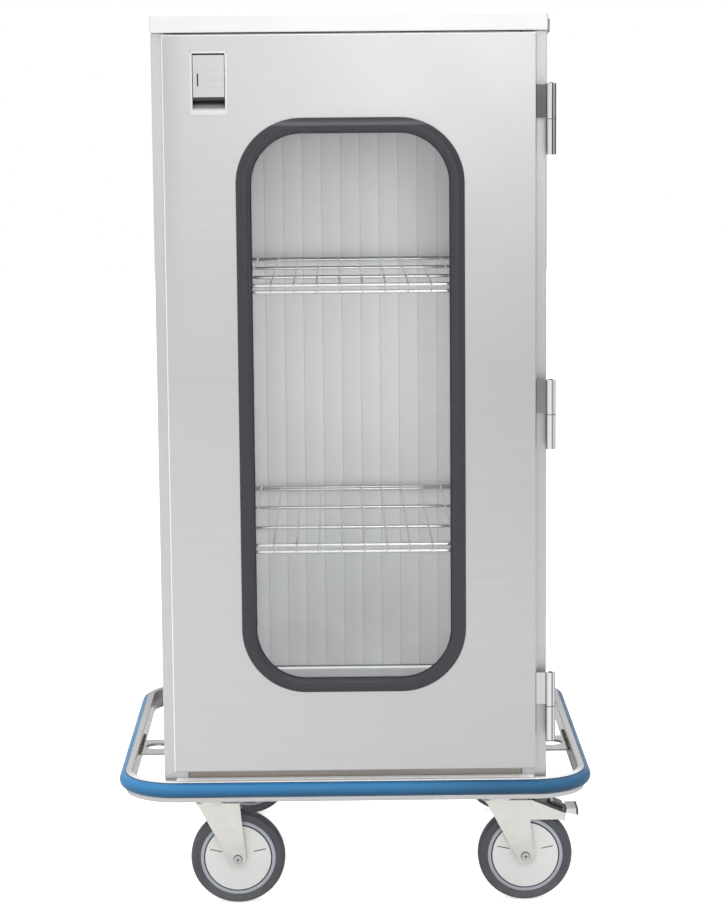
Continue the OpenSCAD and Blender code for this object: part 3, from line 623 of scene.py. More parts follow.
def moulded(name, rgb, rough, size, bump=0.00005, dark=0.8, dust=None, dusty=0.0, tone=None, constants=None):
    """Rubber or plastic: moulded skin, a mild change of shade and dust low down."""
    mat, tree, shader, where = blank_material(name)
    skin = use_group(tree, "Moulded skin", where, Size=size)
    wiped = use_group(tree, "Handling marks", where, Size=9.0)
    base = colour_mix(tree, wiped, shade(rgb, 1.0), shade(rgb, dark))
    if dust:
        specks = use_group(tree, "Floor dust", where, Height=dust)
        base = colour_mix(tree, ranged(tree, specks, 0.0, 1.0, 0.0, dusty), base, (0.42, 0.40, 0.37, 1.0))
    rough = ranged(tree, wiped, 0.0, 1.0, rough - 0.06, rough + 0.06)
    close_finish(tree, shader, where, base, rough, skin, bump, 0.5, tone, constants)
    return mat


def reflection_by_height(tree, where, base):
    """Painted reflection of the room in the cart's front: tones by height, more so towards the right."""
    up = along(tree, where, "Z", DOOR_LOW.z, DOOR_HIGH.z)
    right = along(tree, where, "X", DOOR_LOW.x, DOOR_HIGH.x)
    tones = grey_ramp(tree, up, HEIGHT_LEFT), grey_ramp(tree, up, HEIGHT_RIGHT)
    return tinted(tree, base, colour_mix(tree, right, *tones))


def wall_tone(tree, where, base):
    """Painted reflections of the shelf wires as faint upright lines on the back wall's inner face, and painted shade
    across it, darkest in the middle; plain steel outside.
    """
    wall = bpy.context.scene.cart_wall
    half = 0.22
    base = tinted(tree, base, grey_ramp(tree, along(tree, where, "X", -half, half), WALL_TONES))
    lines = use_group(tree, "Upright lines", where, First=wall.first, Pitch=wall.pitch)
    inner = colour_mix(tree, ranged(tree, lines, 0.0, 1.0, 0.0, wall.depth), base, (0.05, 0.05, 0.05, 1.0))
    outer = along(tree, where, "Y", BACK_LOW.y + 0.0004, BACK_LOW.y + 0.0006)
    return colour_mix(tree, outer, inner, shade(bpy.context.scene.cart_metal.steel, 1.0))


def door_tone(tree, where, base):
    """Painted reflection, cooler and darker towards the upper free edge, and painted highlights along the free and
    top edges.
    """
    base = reflection_by_height(tree, where, base)
    # Painted reflection: darker and bluer towards the upper free edge
    left = along(tree, where, "X", DOOR_LOW.x + 0.035, DOOR_LOW.x + 0.003)
    cool_reflection = calc(tree, "MULTIPLY", left, along(tree, where, "Z", 0.85, 1.35))
    base = colour_mix(tree, ranged(tree, cool_reflection, 0.0, 1.0, 0.0, 0.45), base, (0.40, 0.42, 0.45, 1.0))
    # Painted highlights on the free and top edges
    side = along(tree, where, "X", DOOR_LOW.x + 0.0020, DOOR_LOW.x + 0.0014)
    top = along(tree, where, "Z", DOOR_HIGH.z - 0.0019, DOOR_HIGH.z - 0.0013)
    return colour_mix(tree, calc(tree, "MAXIMUM", side, top), base, WHITE)


def recessed(face):
    """Tone of latch steel: bright on its face and on the case behind, with painted shade in the gaps and slots
    between.
    """

    def tone(tree, where, base):
        end = face + LATCH_DEPTH
        # Painted shade: near black in the gaps and slots between the face and the case
        deep = calc(tree, "MULTIPLY", along(tree, where, "Y", face + 0.0006, face + 0.0014),
                    along(tree, where, "Y", end + 0.0004, end))
        return colour_mix(tree, deep, base, (0.02, 0.02, 0.022, 1.0))

    return tone


def scoop_painted_shade(tree, where, base):
    """Painted shade and light on the finger scoop: brown-grey at its back, darkest at the fold, bright where it comes
    forward.
    """
    up = along(tree, where, "Z", SCOOP_FOOT, SCOOP_FOOT + SCOOP_HEIGHT)
    return tinted(tree, base, grey_ramp(tree, up, SCOOP_TONES))


def hinge_tone(tree, where, base):
    """Painted reflections: stripes up the barrels, and leaves that are darker the higher they sit."""
    edge = HINGE_X - BARREL_R
    leaf = along(tree, where, "X", edge + 0.0001, edge - 0.0003)
    tone = grey_ramp(tree, along(tree, where, "Z", BODY_LOW.z, BODY_HIGH.z), LEAF_TONES)
    stripes = grey_ramp(tree, along(tree, where, "X", edge, edge + 2 * BARREL_R), BARREL_TONES)
    return colour_mix(tree, leaf, tinted(tree, base, stripes), tone)


def rail_tone(tree, where, base):
    """Painted light and shade: bright in front, greyer along the sides and darker at the back, with a greyer lower
    lip.
    """
    tone = grey_ramp(tree, along(tree, where, "Y", RAIL_LOW.y, RAIL_HIGH.y), RAIL_TONES)
    lip = grey_ramp(tree, along(tree, where, "Z", RAIL_LOW.z, RAIL_HIGH.z), LIP_TONES)
    return tinted(tree, tinted(tree, base, tone), lip)


def insert_tone(tree, where, base):
    """Painted light and shade: paler on the insert's upper shoulder, darker under the crown and towards the right."""
    tone = grey_ramp(tree, along(tree, where, "Z", INSERT_FOOT, INSERT_HEAD), INSERT_TONES)
    across = grey_ramp(tree, along(tree, where, "X", RAIL_LOW.x, RAIL_HIGH.x), INSERT_ACROSS)
    return tinted(tree, tinted(tree, base, tone), across)


def gasket_tone(tree, where, base):
    """A painted highlight along the top of the window's frame."""
    band = 0.025
    up = along(tree, where, "Z", GASKET_HIGH.z - band, GASKET_HIGH.z)
    return tinted(tree, base, grey_ramp(tree, up, GASKET_TONES))


def cap_tone(tree, where, base):
    """Painted shade in a hub cap's slots and down its edge."""
    low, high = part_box("hub_caps_rr")
    out = calc(tree, "ABSOLUTE", add(tree, "ShaderNodeSeparateXYZ", {0: where}).outputs["Y"])
    deep = calc(tree, "MULTIPLY", ranged(tree, out, low.y + 0.0004, low.y + 0.0006),
                ranged(tree, out, high.y - 0.0004, high.y - 0.0006))
    return colour_mix(tree, deep, base, (0.10, 0.09, 0.07, 1.0))


def pedal_tone(key):
    """Tone of a pedal: a dark plate with a bright raised tab and toe, the toe's end dark."""

    def tone(tree, where, base):
        low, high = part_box("brake_pedal_" + key)
        sign = CORNERS[key][0]
        end = high.x if sign > 0 else low.x

        def from_end(far, near):
            return along(tree, where, "X", end - sign * far, end - sign * near)

        toe = calc(tree, "MULTIPLY", from_end(0.0205, 0.0200), from_end(0.0035, 0.0040))
        tab = calc(tree, "MULTIPLY", along(tree, where, "Z", high.z - 0.0078, high.z - 0.0070),
                   from_end(0.046, 0.045))
        return colour_mix(tree, calc(tree, "MAXIMUM", toe, tab), base, (0.72, 0.72, 0.73, 1.0))

    return tone


def clear_pane(name):
    """Clear sheet with faint wiping marks."""
    mat, tree, shader, where = blank_material(name)
    wiped = use_group(tree, "Handling marks", where, Size=7.0)
    tint = colour_mix(tree, wiped, (0.86, 0.90, 0.93, 1.0), (0.80, 0.85, 0.88, 1.0))
    plug(tree, shader.inputs["Base Color"], tint)
    plug(tree, shader.inputs["Roughness"], ranged(tree, wiped, 0.0, 1.0, 0.03, 0.09))
    plug(tree, shader.inputs["Alpha"], ranged(tree, wiped, 0.0, 1.0, 0.05, 0.09))
    return mat


def heat_tint(name):
    """Weld metal with straw, brown and dark blue tints."""
    mat, tree, shader, where = blank_material(name)
    blots = noise(tree, where, 160.0, 4.0)
    ramp = add(tree, "ShaderNodeValToRGB", {0: blots})
    marks = ramp.color_ramp.elements
    marks[0].position, marks[0].color = 0.30, (0.010, 0.012, 0.022, 1.0)
    marks[1].position, marks[1].color = 0.72, (0.50, 0.42, 0.30, 1.0)
    marks.new(0.5).color = (0.10, 0.055, 0.03, 1.0)
    rough = ranged(tree, blots, 0.2, 0.8, 0.35, 0.6)
    close_finish(tree, shader, where, ramp.outputs[0], rough, blots, 0.0003, 0.7, None, {"Metallic": 1.0})
    return mat


def floor_finish(name):
    """Pale matt floor, lifted to the photograph's white where the camera looks straight at it."""
    stage = bpy.context.scene.cart_stage
    mat, tree, shader, where = blank_material(name)
    wiped = use_group(tree, "Handling marks", where, Size=1.5)
    pale = colour_mix(tree, wiped, shade(stage.floor, 1.0), shade(stage.floor, 0.985))
    plug(tree, shader.inputs["Base Color"], pale)
    shader.inputs["Roughness"].default_value = 0.9
    lift = add(tree, "ShaderNodeEmission", {"Strength": stage.glow})
    both = add(tree, "ShaderNodeAddShader", {0: shader.outputs[0], 1: lift.outputs[0]})
    path = tree.nodes.new("ShaderNodeLightPath")
    mix = add(tree, "ShaderNodeMixShader",
              {0: path.outputs["Is Camera Ray"], 1: shader.outputs[0], 2: both.outputs[0]})
    out = next(n for n in tree.nodes if n.bl_idname == "ShaderNodeOutputMaterial")
    plug(tree, out.inputs["Surface"], mix.outputs[0])
    return mat


def material(finish):
    """The material of a finish, built the first time it is asked for."""
    if finish in bpy.data.materials:
        return bpy.data.materials[finish]
    scene = bpy.context.scene
    steel, polished, wheel = scene.cart_metal.steel, scene.cart_metal.polished, scene.cart_wheel
    sheet = {"spread": 0.03, "bump": 0.000008}
    inner = {"spread": 0.02, "dark": 0.98, "bump": 0.000006, "drawn": 0.6, "bare": 0.5}
    latch = {"dark": 0.95, "marks": 20.0}
    pedal = {"dark": 0.7, "marks": 30.0}
    # The bright ledge is painted light: plain white, not metal, with a faint glow, for the ledge under the door that
    # lies in shade and the highlight on the floor bead.
    glowing = {"Emission Color": WHITE, "Emission Strength": 0.18}
    make, *values, named = {
        "brushed panel": (metal, steel, 0.42, ACROSS, dict(sheet, dark=0.975, drawn=0.3, tone=reflection_by_height)),
        # The cover is a lighter copy of the panel steel: painted light.
        "brushed cover": (metal, shade(steel, 1.29), 0.42, ACROSS, dict(sheet, dark=0.98)),
        "brushed door": (metal, scene.cart_metal.door, 0.38, FINE_ACROSS,
                         dict(sheet, dark=0.975, marks=4.0, drawn=0.3, tone=door_tone)),
        # Inner steel and the lined wall are lighter copies of the panel steel: painted light inside the cabinet.
        "inner steel": (metal, shade(steel, 1.15), 0.32, FINE_ACROSS, inner),
        "lined wall": (metal, shade(steel, 1.35), 0.34, FINE_ACROSS, dict(inner, tone=wall_tone)),
        # The sill's dark brown is painted shadow of the door that stands over it.
        "sill steel": (metal, (0.33, 0.30, 0.27), 0.35, ACROSS, {"dark": 0.85}),
        # The rail is a lighter copy of the polished steel, with painted light and shade from rail_tone.
        "satin rail": (metal, shade(polished, 1.2), 0.24, ALL_WAYS,
                       {"spread": 0.04, "dark": 0.96, "bare": 0.35, "tone": rail_tone}),
        "bright ledge": (metal, WHITE, 0.35, ALL_WAYS,
                         {"spread": 0.03, "dark": 0.98, "bare": 0.0, "constants": glowing}),
        "polished hinge": (metal, polished, 0.075, UPWARD, {"spread": 0.02, "dark": 0.97, "tone": hinge_tone}),
        # Latch, bezel and paddle steel are darker copies of the polished steel: painted shade, darkest on the paddle.
        "latch steel": (metal, shade(polished, 0.8), 0.30, ACROSS, latch),
        "bezel steel": (metal, shade(polished, 0.86), 0.30, ACROSS, dict(latch, tone=recessed(DOOR_FACE))),
        "paddle steel": (metal, shade(polished, 0.72), 0.30, ACROSS, dict(latch, tone=recessed(PADDLE_LOW.y))),
        "scoop steel": (metal, (0.9, 0.87, 0.84), 0.35, ACROSS,
                        {"dark": 0.9, "marks": 20.0, "bare": 0.5, "tone": scoop_painted_shade}),
        "pedal fr": (metal, (0.10, 0.10, 0.115), 0.32, ALL_WAYS, dict(pedal, tone=pedal_tone("fr"))),
        "pedal rl": (metal, (0.10, 0.10, 0.115), 0.32, ALL_WAYS, dict(pedal, tone=pedal_tone("rl"))),
        "bright wire": (metal, polished, 0.12, ALL_WAYS, {"spread": 0.03, "dark": 0.93, "marks": 14.0}),
        "bracket steel": (metal, shade(steel, 0.78), 0.40, LENGTHWISE, {"dark": 0.88}),
        "zinc bolt": (metal, (0.62, 0.62, 0.63), 0.30, ALL_WAYS, {"dark": 0.85, "marks": 60.0}),
        "caster steel": (metal, scene.cart_metal.caster, 0.42, ALL_WAYS,
                         {"spread": 0.03, "dark": 0.95, "marks": 30.0, "dust": 0.12}),
        "dark steel": (metal, (0.16, 0.16, 0.18), 0.32, ALL_WAYS, pedal),
        "clear pane": (clear_pane, {}),
        "heat tint": (heat_tint, {}),
        "plain floor": (floor_finish, {}),
        "gasket rubber": (moulded, scene.cart_door.gasket, 0.33, 1500.0, {"dark": 0.97, "tone": gasket_tone}),
        "seal rubber": (moulded, (0.05, 0.05, 0.055), 0.55, 1500.0, {}),
        "blue bumper": (moulded, scene.cart_bumper.insert, 0.42, 800.0,
                        {"dark": 1.0, "tone": insert_tone, "constants": {"Specular IOR Level": 0.35}}),
        "tyre rubber": (moulded, wheel.tyre, 0.55, 1300.0, {"bump": 0.0001, "dust": 0.06, "dusty": 0.3}),
        "ring plastic": (moulded, wheel.ring, 0.42, 1100.0, {"dust": 0.1, "dusty": 0.15}),
        "cap plastic": (moulded, wheel.cap, 0.38, 1100.0,
                        {"dark": 0.95, "dust": 0.1, "dusty": 0.12, "tone": cap_tone}),
    }[finish]
    return make(finish, *values, **named)


# ---- Pieces --------------------------------------------------------------------------------------


def panel_copies(rows):
    """Rounded copies of folded sheet nodes: (node, new name, body, slot, finish)."""
    settings = bpy.context.scene.cart_metal
    for node, name, body, slot, finish in rows:
        rounded_piece(node, name, body, slot, finish, settings.deburr, settings.bend, on_two_planes(*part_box(node)))


class CART_OT_cabinet(bpy.types.Operator):
    """Cabinet walls, cover, floor, sill and header"""

    bl_idname = "case_cart.cabinet"
    bl_label = "Cabinet"

    def execute(self, context):
        panel_copies((
            ("side_panel_left", "wall_left", "cabinet", "brushed_steel", "brushed panel"),
            ("side_panel_right", "wall_right", "cabinet", "brushed_steel", "brushed panel"),
            ("top_cover", "cover", "cabinet", "brushed_steel", "brushed cover"),
            ("floor_pan", "cabinet_floor", "cabinet", "brushed_steel", "inner steel"),
            ("front_sill", "sill", "cabinet", "brushed_steel", "sill steel"),
            ("header_rail", "header", "cabinet", "brushed_steel", "inner steel"),
            ("strike_plate", "strike", "cabinet", "latch_steel", "latch steel"),
            ("back_panel", "back_wall", "cabinet", "brushed_steel", "lined wall"),
            ("shelf_runners", "shelf_ledges", "cabinet", "satin_steel", "inner steel"),
        ))
        return {"FINISHED"}


class CART_OT_cove(bpy.types.Operator):
    """Bead along the back of the cabinet's floor, white and faintly glowing as a painted highlight, under a dark
    strip of painted shadow
    """

    bl_idname = "case_cart.cove"
    bl_label = "Floor bead"

    def execute(self, context):
        gap, depth = 0.045, 0.0035
        reach = BODY_HIGH.x - gap
        # The white bead is a painted highlight and the dark strip above it a painted shadow.
        for name, foot, height, finish in (("floor_bead", 0.0, 0.0040, "bright ledge"),
                                           ("floor_bead_seam", 0.0040, 0.0020, "dark steel")):
            outline = rounded(((0.0, foot, 0.0), (-depth, foot, 0.0008), (-depth, foot + height, 0.0010),
                               (0.0, foot + height, 0.0)), 4)
            bm = bmesh.new()
            prism(bm, outline, -reach, reach, lambda y, z, x: Vector((x, FLOOR_HIGH.y + y, FLOOR_HIGH.z + z)))
            piece(bm, name, "cabinet", "brushed_steel", finish)
        return {"FINISHED"}


class CART_OT_door(bpy.types.Operator):
    """Door skin, liner, seal and pane"""

    bl_idname = "case_cart.door"
    bl_label = "Door"

    def execute(self, context):
        panel_copies((
            ("door_shell", "door_skin", "door", "brushed_door", "brushed door"),
            ("door_liner", "door_inner_skin", "door", "satin_steel", "inner steel"),
            ("door_seal", "door_gasket", "door", "seal_rubber", "seal rubber"),
        ))
        repaint("window_pane", "clear pane")
        return {"FINISHED"}


class CART_OT_gasket(bpy.types.Operator):
    """Rubber gasket round the window, with its seam at the top"""

    bl_idname = "case_cart.gasket"
    bl_label = "Window gasket"

    def execute(self, context):
        opening, corner, steps, squareness = 0.157, 0.080, 24, 0.82
        inner_x = (GASKET_HIGH.x - GASKET_LOW.x) / 2
        inner_z = (GASKET_HIGH.z - GASKET_LOW.z) / 2
        width = inner_x - opening
        proud = DOOR_FACE - GASKET_LOW.y
        profile = []
        for k in range(steps + 1):
            a = math.pi * (1 - k / steps)
            c, s = math.cos(a), math.sin(a)
            flat = math.copysign(abs(c) ** squareness, c)
            profile.append((width / 2 + width / 2 * flat, proud * s ** squareness))
        # The lips that grip the door's sheet and the pane
        profile += [(0.010, 0.0), (0.010, -0.002), (0.016, -0.002), (0.016, -0.005), (0.010, -0.005),
                    (0.010, -0.010), (0.003, -0.010), (0.003, -0.007), (0.0065, -0.007), (0.0065, -0.003),
                    (0.003, -0.003), (0.003, 0.0)]
        stations = rounded_rect(inner_x - width, inner_z - width, corner, 28)
        gap = context.scene.cart_door.seam
        stations[0] = (-gap, stations[0][1], 0.0, 1.0)
        stations.append((gap, stations[0][1], 0.0, 1.0))
        bm = bmesh.new()
        swept(bm, stations, profile, lambda x, z, v: Vector((x, DOOR_FACE - v, WINDOW_Z + z)), closed=False)
        piece(bm, "window_rubber", "door", "gasket_rubber", "gasket rubber", "window_gasket")
        return {"FINISHED"}


class CART_OT_latch(bpy.types.Operator):
    """Latch bezel, paddle, finger scoop and bolt"""

    bl_idname = "case_cart.latch"
    bl_label = "Latch"

    def execute(self, context):
        low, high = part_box("latch_housing")
        side, foot, head = 0.004, 0.0035, 0.003

        def rim(a, b):
            return max(a.y, b.y) < low.y + 1e-5 and not (
                low.x + side < a.x < high.x - side and low.z + foot < a.z < high.z - head
            )

        rounded_piece("latch_housing", "latch_bezel", "door", "latch_steel", "bezel steel", light=0.0004,
                      heavy=0.0013, is_heavy=rim)
        rounded_piece("latch_paddle", "latch_handle", "paddle", "latch_steel", "paddle steel", light=0.0006)
        middle, overlap = (PADDLE_LOW.x + PADDLE_HIGH.x) / 2, 0.0008
        half = (PADDLE_HIGH.x - PADDLE_LOW.x) / 2 + overlap
        # A thin lining (depth, height) just in front of the housing's own slope, carrying the painted shade and light
        # of the recess
        outline = [(0.0153, 0.0225), (0.0146, 0.0225), (0.0146, 0.0122), (0.0138, 0.0109), (0.0006, 0.0018),
                   (0.0001, 0.0004), (0.0008, 0.0004), (0.0150, 0.0106), (0.0153, 0.0112)]
        bm = bmesh.new()
        prism(bm, outline, middle - half, middle + half,
              lambda depth, up, x: Vector((x, DOOR_FACE + depth, SCOOP_FOOT + up)))
        piece(bm, "finger_scoop", "door", "latch_steel", "scoop steel")
        rounded_piece("latch_bolt", "latch_tongue", "bolt", "zinc_bolt", "zinc bolt", light=0.0004)
        return {"FINISHED"}


class CART_OT_hinges(bpy.types.Operator):
    """Three lift-off hinges, with a plug on top and a washer in the middle of each"""

    bl_idname = "case_cart.hinges"
    bl_label = "Hinges"

    def execute(self, context):
        for node, name, body in (
            ("hinge_frame_leaves", "hinge_lower_halves", "cabinet"),
            ("hinge_door_leaves", "hinge_upper_halves", "door"),
            ("hinge_pins", "hinge_pintles", "cabinet"),
        ):
            rounded_piece(node, name, body, "hinge_steel", "polished hinge", light=0.0006)
        levels = (DOOR_LOW.z + HINGE_LOW, DOOR_LOW.z + HINGE_MIDDLE * (DOOR_HIGH.z - DOOR_LOW.z),
                  DOOR_HIGH.z - HINGE_DROP)
        for name, body, lift, closed, profile, steps in (
            ("hinge_plug", "door", BARREL_TOP, False,
             ((0.0, 0.0014), (0.0022, 0.0012), (0.0036, 0.0004), (0.0036, -0.0006), (0.0, -0.0006)), 24),
            ("hinge_washer", "cabinet", 0.0, True,
             ((0.0060, -0.0006), (0.0083, -0.0006), (0.0083, 0.0006), (0.0060, 0.0006)), 32),
        ):
            bm = bmesh.new()
            turned(bm, (0.0, 0.0, 0.0), profile, axis="z", steps=steps, closed=closed)
            places = [((HINGE_X, HINGE_Y, z + lift), (0.0, 0.0, 0.0)) for z in levels]
            thing = copies(name + "s", mesh_from(bm, name), places, "dark steel")
            dress(thing, body, "hinge_steel", "dark steel")
        return {"FINISHED"}


def shelf_tree():
    """Geometry tree of a wire shelf: cross bars at the points of the input, thin wires over them."""
    tree, source, out = geometry_tree("Wire shelf", (
        ("Width", "NodeSocketFloat"), ("Pitch", "NodeSocketFloat"), ("Wires", "NodeSocketInt"),
        ("Bar radius", "NodeSocketFloat"), ("Wire radius", "NodeSocketFloat"), ("Wire", "NodeSocketObject"),
        ("Finish", "NodeSocketMaterial")))
    put = source.outputs

    def on_x(value):
        return add(tree, "ShaderNodeCombineXYZ", {"X": value}).outputs[0]

    def tube(path, sides, radius):
        ring = add(tree, "GeometryNodeCurvePrimitiveCircle", {"Resolution": sides, "Radius": radius})
        return add(tree, "GeometryNodeCurveToMesh",
                   {"Curve": path, "Profile Curve": ring.outputs[0], "Fill Caps": True}).outputs[0]

    def on_points(points, instance):
        return add(tree, "GeometryNodeInstanceOnPoints", {"Points": points, "Instance": instance}).outputs[0]

    half = calc(tree, "MULTIPLY", put["Width"], 0.5)
    bar = add(tree, "GeometryNodeCurvePrimitiveLine",
              {"Start": on_x(calc(tree, "MULTIPLY", half, -1.0)), "End": on_x(half)})
    bars = on_points(put["Geometry"], tube(bar.outputs[0], 16, put["Bar radius"]))
    spread = calc(tree, "MULTIPLY", calc(tree, "SUBTRACT", put["Wires"], 1.0), put["Pitch"])
    row = add(tree, "GeometryNodeMeshLine", {
        "Count": put["Wires"], "Start Location": on_x(calc(tree, "MULTIPLY", spread, -0.5)),
        "Offset": on_x(put["Pitch"])})
    path = add(tree, "GeometryNodeObjectInfo", {"Object": put["Wire"]}).outputs["Geometry"]
    wires = on_points(row.outputs[0], tube(path, 10, put["Wire radius"]))
    both = tree.nodes.new("GeometryNodeJoinGeometry")
    tree.links.new(bars, both.inputs[0])
    tree.links.new(wires, both.inputs[0])
    close_tree(tree, source, out, both.outputs[0], "Finish")
    return tree


def open_curve(name, points):
    """An object with one poly curve through these points."""
    curve = bpy.data.curves.new(name, "CURVE")
    curve.dimensions = "3D"
    spline = curve.splines.new("POLY")
    spline.points.add(len(points) - 1)
    for point, place in zip(spline.points, points):
        point.co = (*place, 1.0)
    return new_object(name, curve)


class CART_OT_shelves(bpy.types.Operator):
    """Two wire shelves"""

    bl_idname = "case_cart.shelves"
    bl_label = "Wire shelves"

    def execute(self, context):
        shelf = context.scene.cart_shelf
        tree = shelf_tree()
        weld, drop, bend, inset = 0.0005, 0.011, 0.0035, 0.0011
        for node, name in (("upper_shelf", "wire_shelf_upper"), ("lower_shelf", "wire_shelf_lower")):
            low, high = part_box(node)
            front = low.y + shelf.bar + shelf.wire + inset
            back = high.y - shelf.bar
            level = high.z - 2 * shelf.wire + weld - shelf.bar
            points = [(0.0, front + share * (back - front), level) for share in (0.0, 0.28, 0.62, 0.96, 1.0)]
            points.append((0.0, front, level - drop))
            rest = level + shelf.bar + shelf.wire - weld
            edge = low.y + shelf.wire
            route = [(0.0, high.y, rest), (0.0, edge + bend, rest)]
            route += [(0.0, edge + bend - bend * math.sin(a), rest - bend + bend * math.cos(a))
                      for a in (math.radians(d) for d in (30, 60, 90))]
            route.append((0.0, edge, level - drop))
            wire = open_curve(name + "_wire", route)
            mesh = bpy.data.meshes.new(name)
            mesh.from_pydata(points, [], [])
            thing = run_tree(new_object(name, mesh), tree, {
                "Width": high.x - low.x, "Pitch": shelf.pitch, "Wires": shelf.count, "Bar radius": shelf.bar,
                "Wire radius": shelf.wire, "Wire": wire, "Finish": material("bright wire")})
            bpy.data.objects.remove(wire)
            smooth(thing.data, 50.0)
            dress(thing, "cabinet", "wire", "bright wire", node)
        return {"FINISHED"}


class CART_OT_chassis(bpy.types.Operator):
    """Chassis channels, caster pads, bumper brackets and their welds"""

    bl_idname = "case_cart.chassis"
    bl_label = "Chassis"

    def execute(self, context):
        panel_copies((
            # The cross channels wear the bright ledge, a painted light: white and faintly glowing.
            ("chassis_cross_channels", "cross_channels", "cabinet", "brushed_steel", "bright ledge"),
            ("chassis_side_channels", "side_channels", "cabinet", "brushed_steel", "bracket steel"),
            ("caster_pads", "caster_seats", "cabinet", "satin_steel", "bracket steel"),
            ("bumper_bracket_left", "bracket_left", "cabinet", "satin_steel", "bracket steel"),
            ("bumper_bracket_right", "bracket_right", "cabinet", "satin_steel", "bracket steel"),
        ))
        beads, overrun, sunk = 34, 0.03, 0.0012
        random = Random(7)
        bm = bmesh.new()
        bmesh.ops.create_icosphere(bm, subdivisions=2, radius=0.0030)
        for vert in bm.verts:
            vert.co = Vector((vert.co.x * 0.9, vert.co.y * 1.1, vert.co.z * 0.75)) * random.uniform(0.92, 1.08)
        places = []
        for side, node in ((-1, "bumper_bracket_left"), (1, "bumper_bracket_right")):
            low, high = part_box(node)
            web = max(abs(low.x), abs(high.x))
            for k in range(beads):
                y = low.y + (high.y - low.y + overrun) * k / (beads - 1)
                place = (side * (web - sunk + random.uniform(-0.0006, 0.0006)), y,
                         high.z + random.uniform(-0.0004, 0.0012))
                places.append((place, (random.uniform(-0.3, 0.3), 0.0, random.uniform(-0.4, 0.4))))
        thing = copies("bracket_welds", mesh_from(bm, "weld_bead"), places, "heat tint")
        smooth(thing.data, 60.0)
        dress(thing, "cabinet", "satin_steel", "heat tint")
        return {"FINISHED"}


class CART_OT_bumper(bpy.types.Operator):
    """Bumper rail and its blue insert"""

    bl_idname = "case_cart.bumper"
    bl_label = "Bumper"

    def execute(self, context):
        bumper = context.scene.cart_bumper
        flange, low, high = bumper.flange, RAIL_LOW.z, RAIL_HIGH.z
        wall, lower, upper = 0.002, 0.0085, 0.002
        stations = rounded_rect(RAIL_HIGH.x - flange, RAIL_HIGH.y - flange, bumper.corner, 24)
        rail = rounded((
            (0.0, low, 0.001), (flange, low, 0.0025), (flange, low + lower, 0.0012), (wall, low + lower, 0.0),
            (wall, high - upper, 0.0), (flange, high - upper, 0.0006), (flange, high, 0.0012), (0.0, high, 0.0018)))
        bm = bmesh.new()
        swept(bm, stations, rail, flat_place)
        piece(bm, "rail", "cabinet", "chrome_rail", "satin rail", "bumper_rail")
        middle, half, seat, steps = (INSERT_FOOT + INSERT_HEAD) / 2, (INSERT_HEAD - INSERT_FOOT) / 2, 0.0005, 20
        outline = [(wall, INSERT_FOOT)]
        for k in range(steps + 1):
            a = math.pi * (k / steps - 0.5)
            outline.append((flange - seat + (bumper.bulge + seat) * math.cos(a) ** 0.85, middle + half * math.sin(a)))
        outline.append((wall, INSERT_HEAD))
        bm = bmesh.new()
        swept(bm, stations, outline, flat_place)
        piece(bm, "bumper_strip", "cabinet", "blue_bumper", "blue bumper", "bumper_insert")
        return {"FINISHED"}


def face_rings(bm, centre, radius, half, profile, steps):
    """Turns a profile of (outwards, behind the face) points about a wheel's axis, on both faces."""
    for side in (-1, 1):
        turned(bm, centre, [(radius + out, side * (half - back)) for out, back in profile], steps=steps)


class CART_OT_casters(bpy.types.Operator):
    """Caster plates, forks and axles, with a ring and a cross on each axle head"""

    bl_idname = "case_cart.casters"
    bl_label = "Casters"

    def execute(self, context):
        for key in CORNERS:
            swivel = "swivel_" + key
            rounded_piece("fork_" + key, "swivel_fork_" + key, swivel, "caster_steel", "caster steel",
                          light=0.0005)
            rounded_piece("caster_plate_" + key, "top_plate_" + key, "cabinet", "caster_steel", "caster steel",
                          light=0.0005)
            rounded_piece("axle_" + key, "wheel_axle_" + key, swivel, "zinc_bolt", "zinc bolt", light=0.0006)
            low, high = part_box("axle_" + key)
            centre, half = (low + high) / 2, (high.y - low.y) / 2
            bm = bmesh.new()
            face_rings(bm, centre, (high.x - low.x) / 2, half,
                  ((-0.0003, 0.0048), (-0.0003, 0.0034), (0.0004, 0.0032), (0.0011, 0.0036), (0.0011, 0.0048)), 32)
            for side in (-1, 1):
                for wide, tall in ((0.0036, 0.0007), (0.0007, 0.0036)):
                    bar = [(-wide, -tall), (wide, -tall), (wide, tall), (-wide, tall)]
                    prism(bm, bar, half - 0.0006, half + 0.0002,
                          lambda x, z, out: centre + Vector((x, side * out, z)))
            piece(bm, "axle_rings_" + key, swivel, "zinc_bolt", "dark steel")
        rounded_piece("caster_bolts", "plate_bolts", "cabinet", "zinc_bolt", "zinc bolt", light=0.0005)
        return {"FINISHED"}


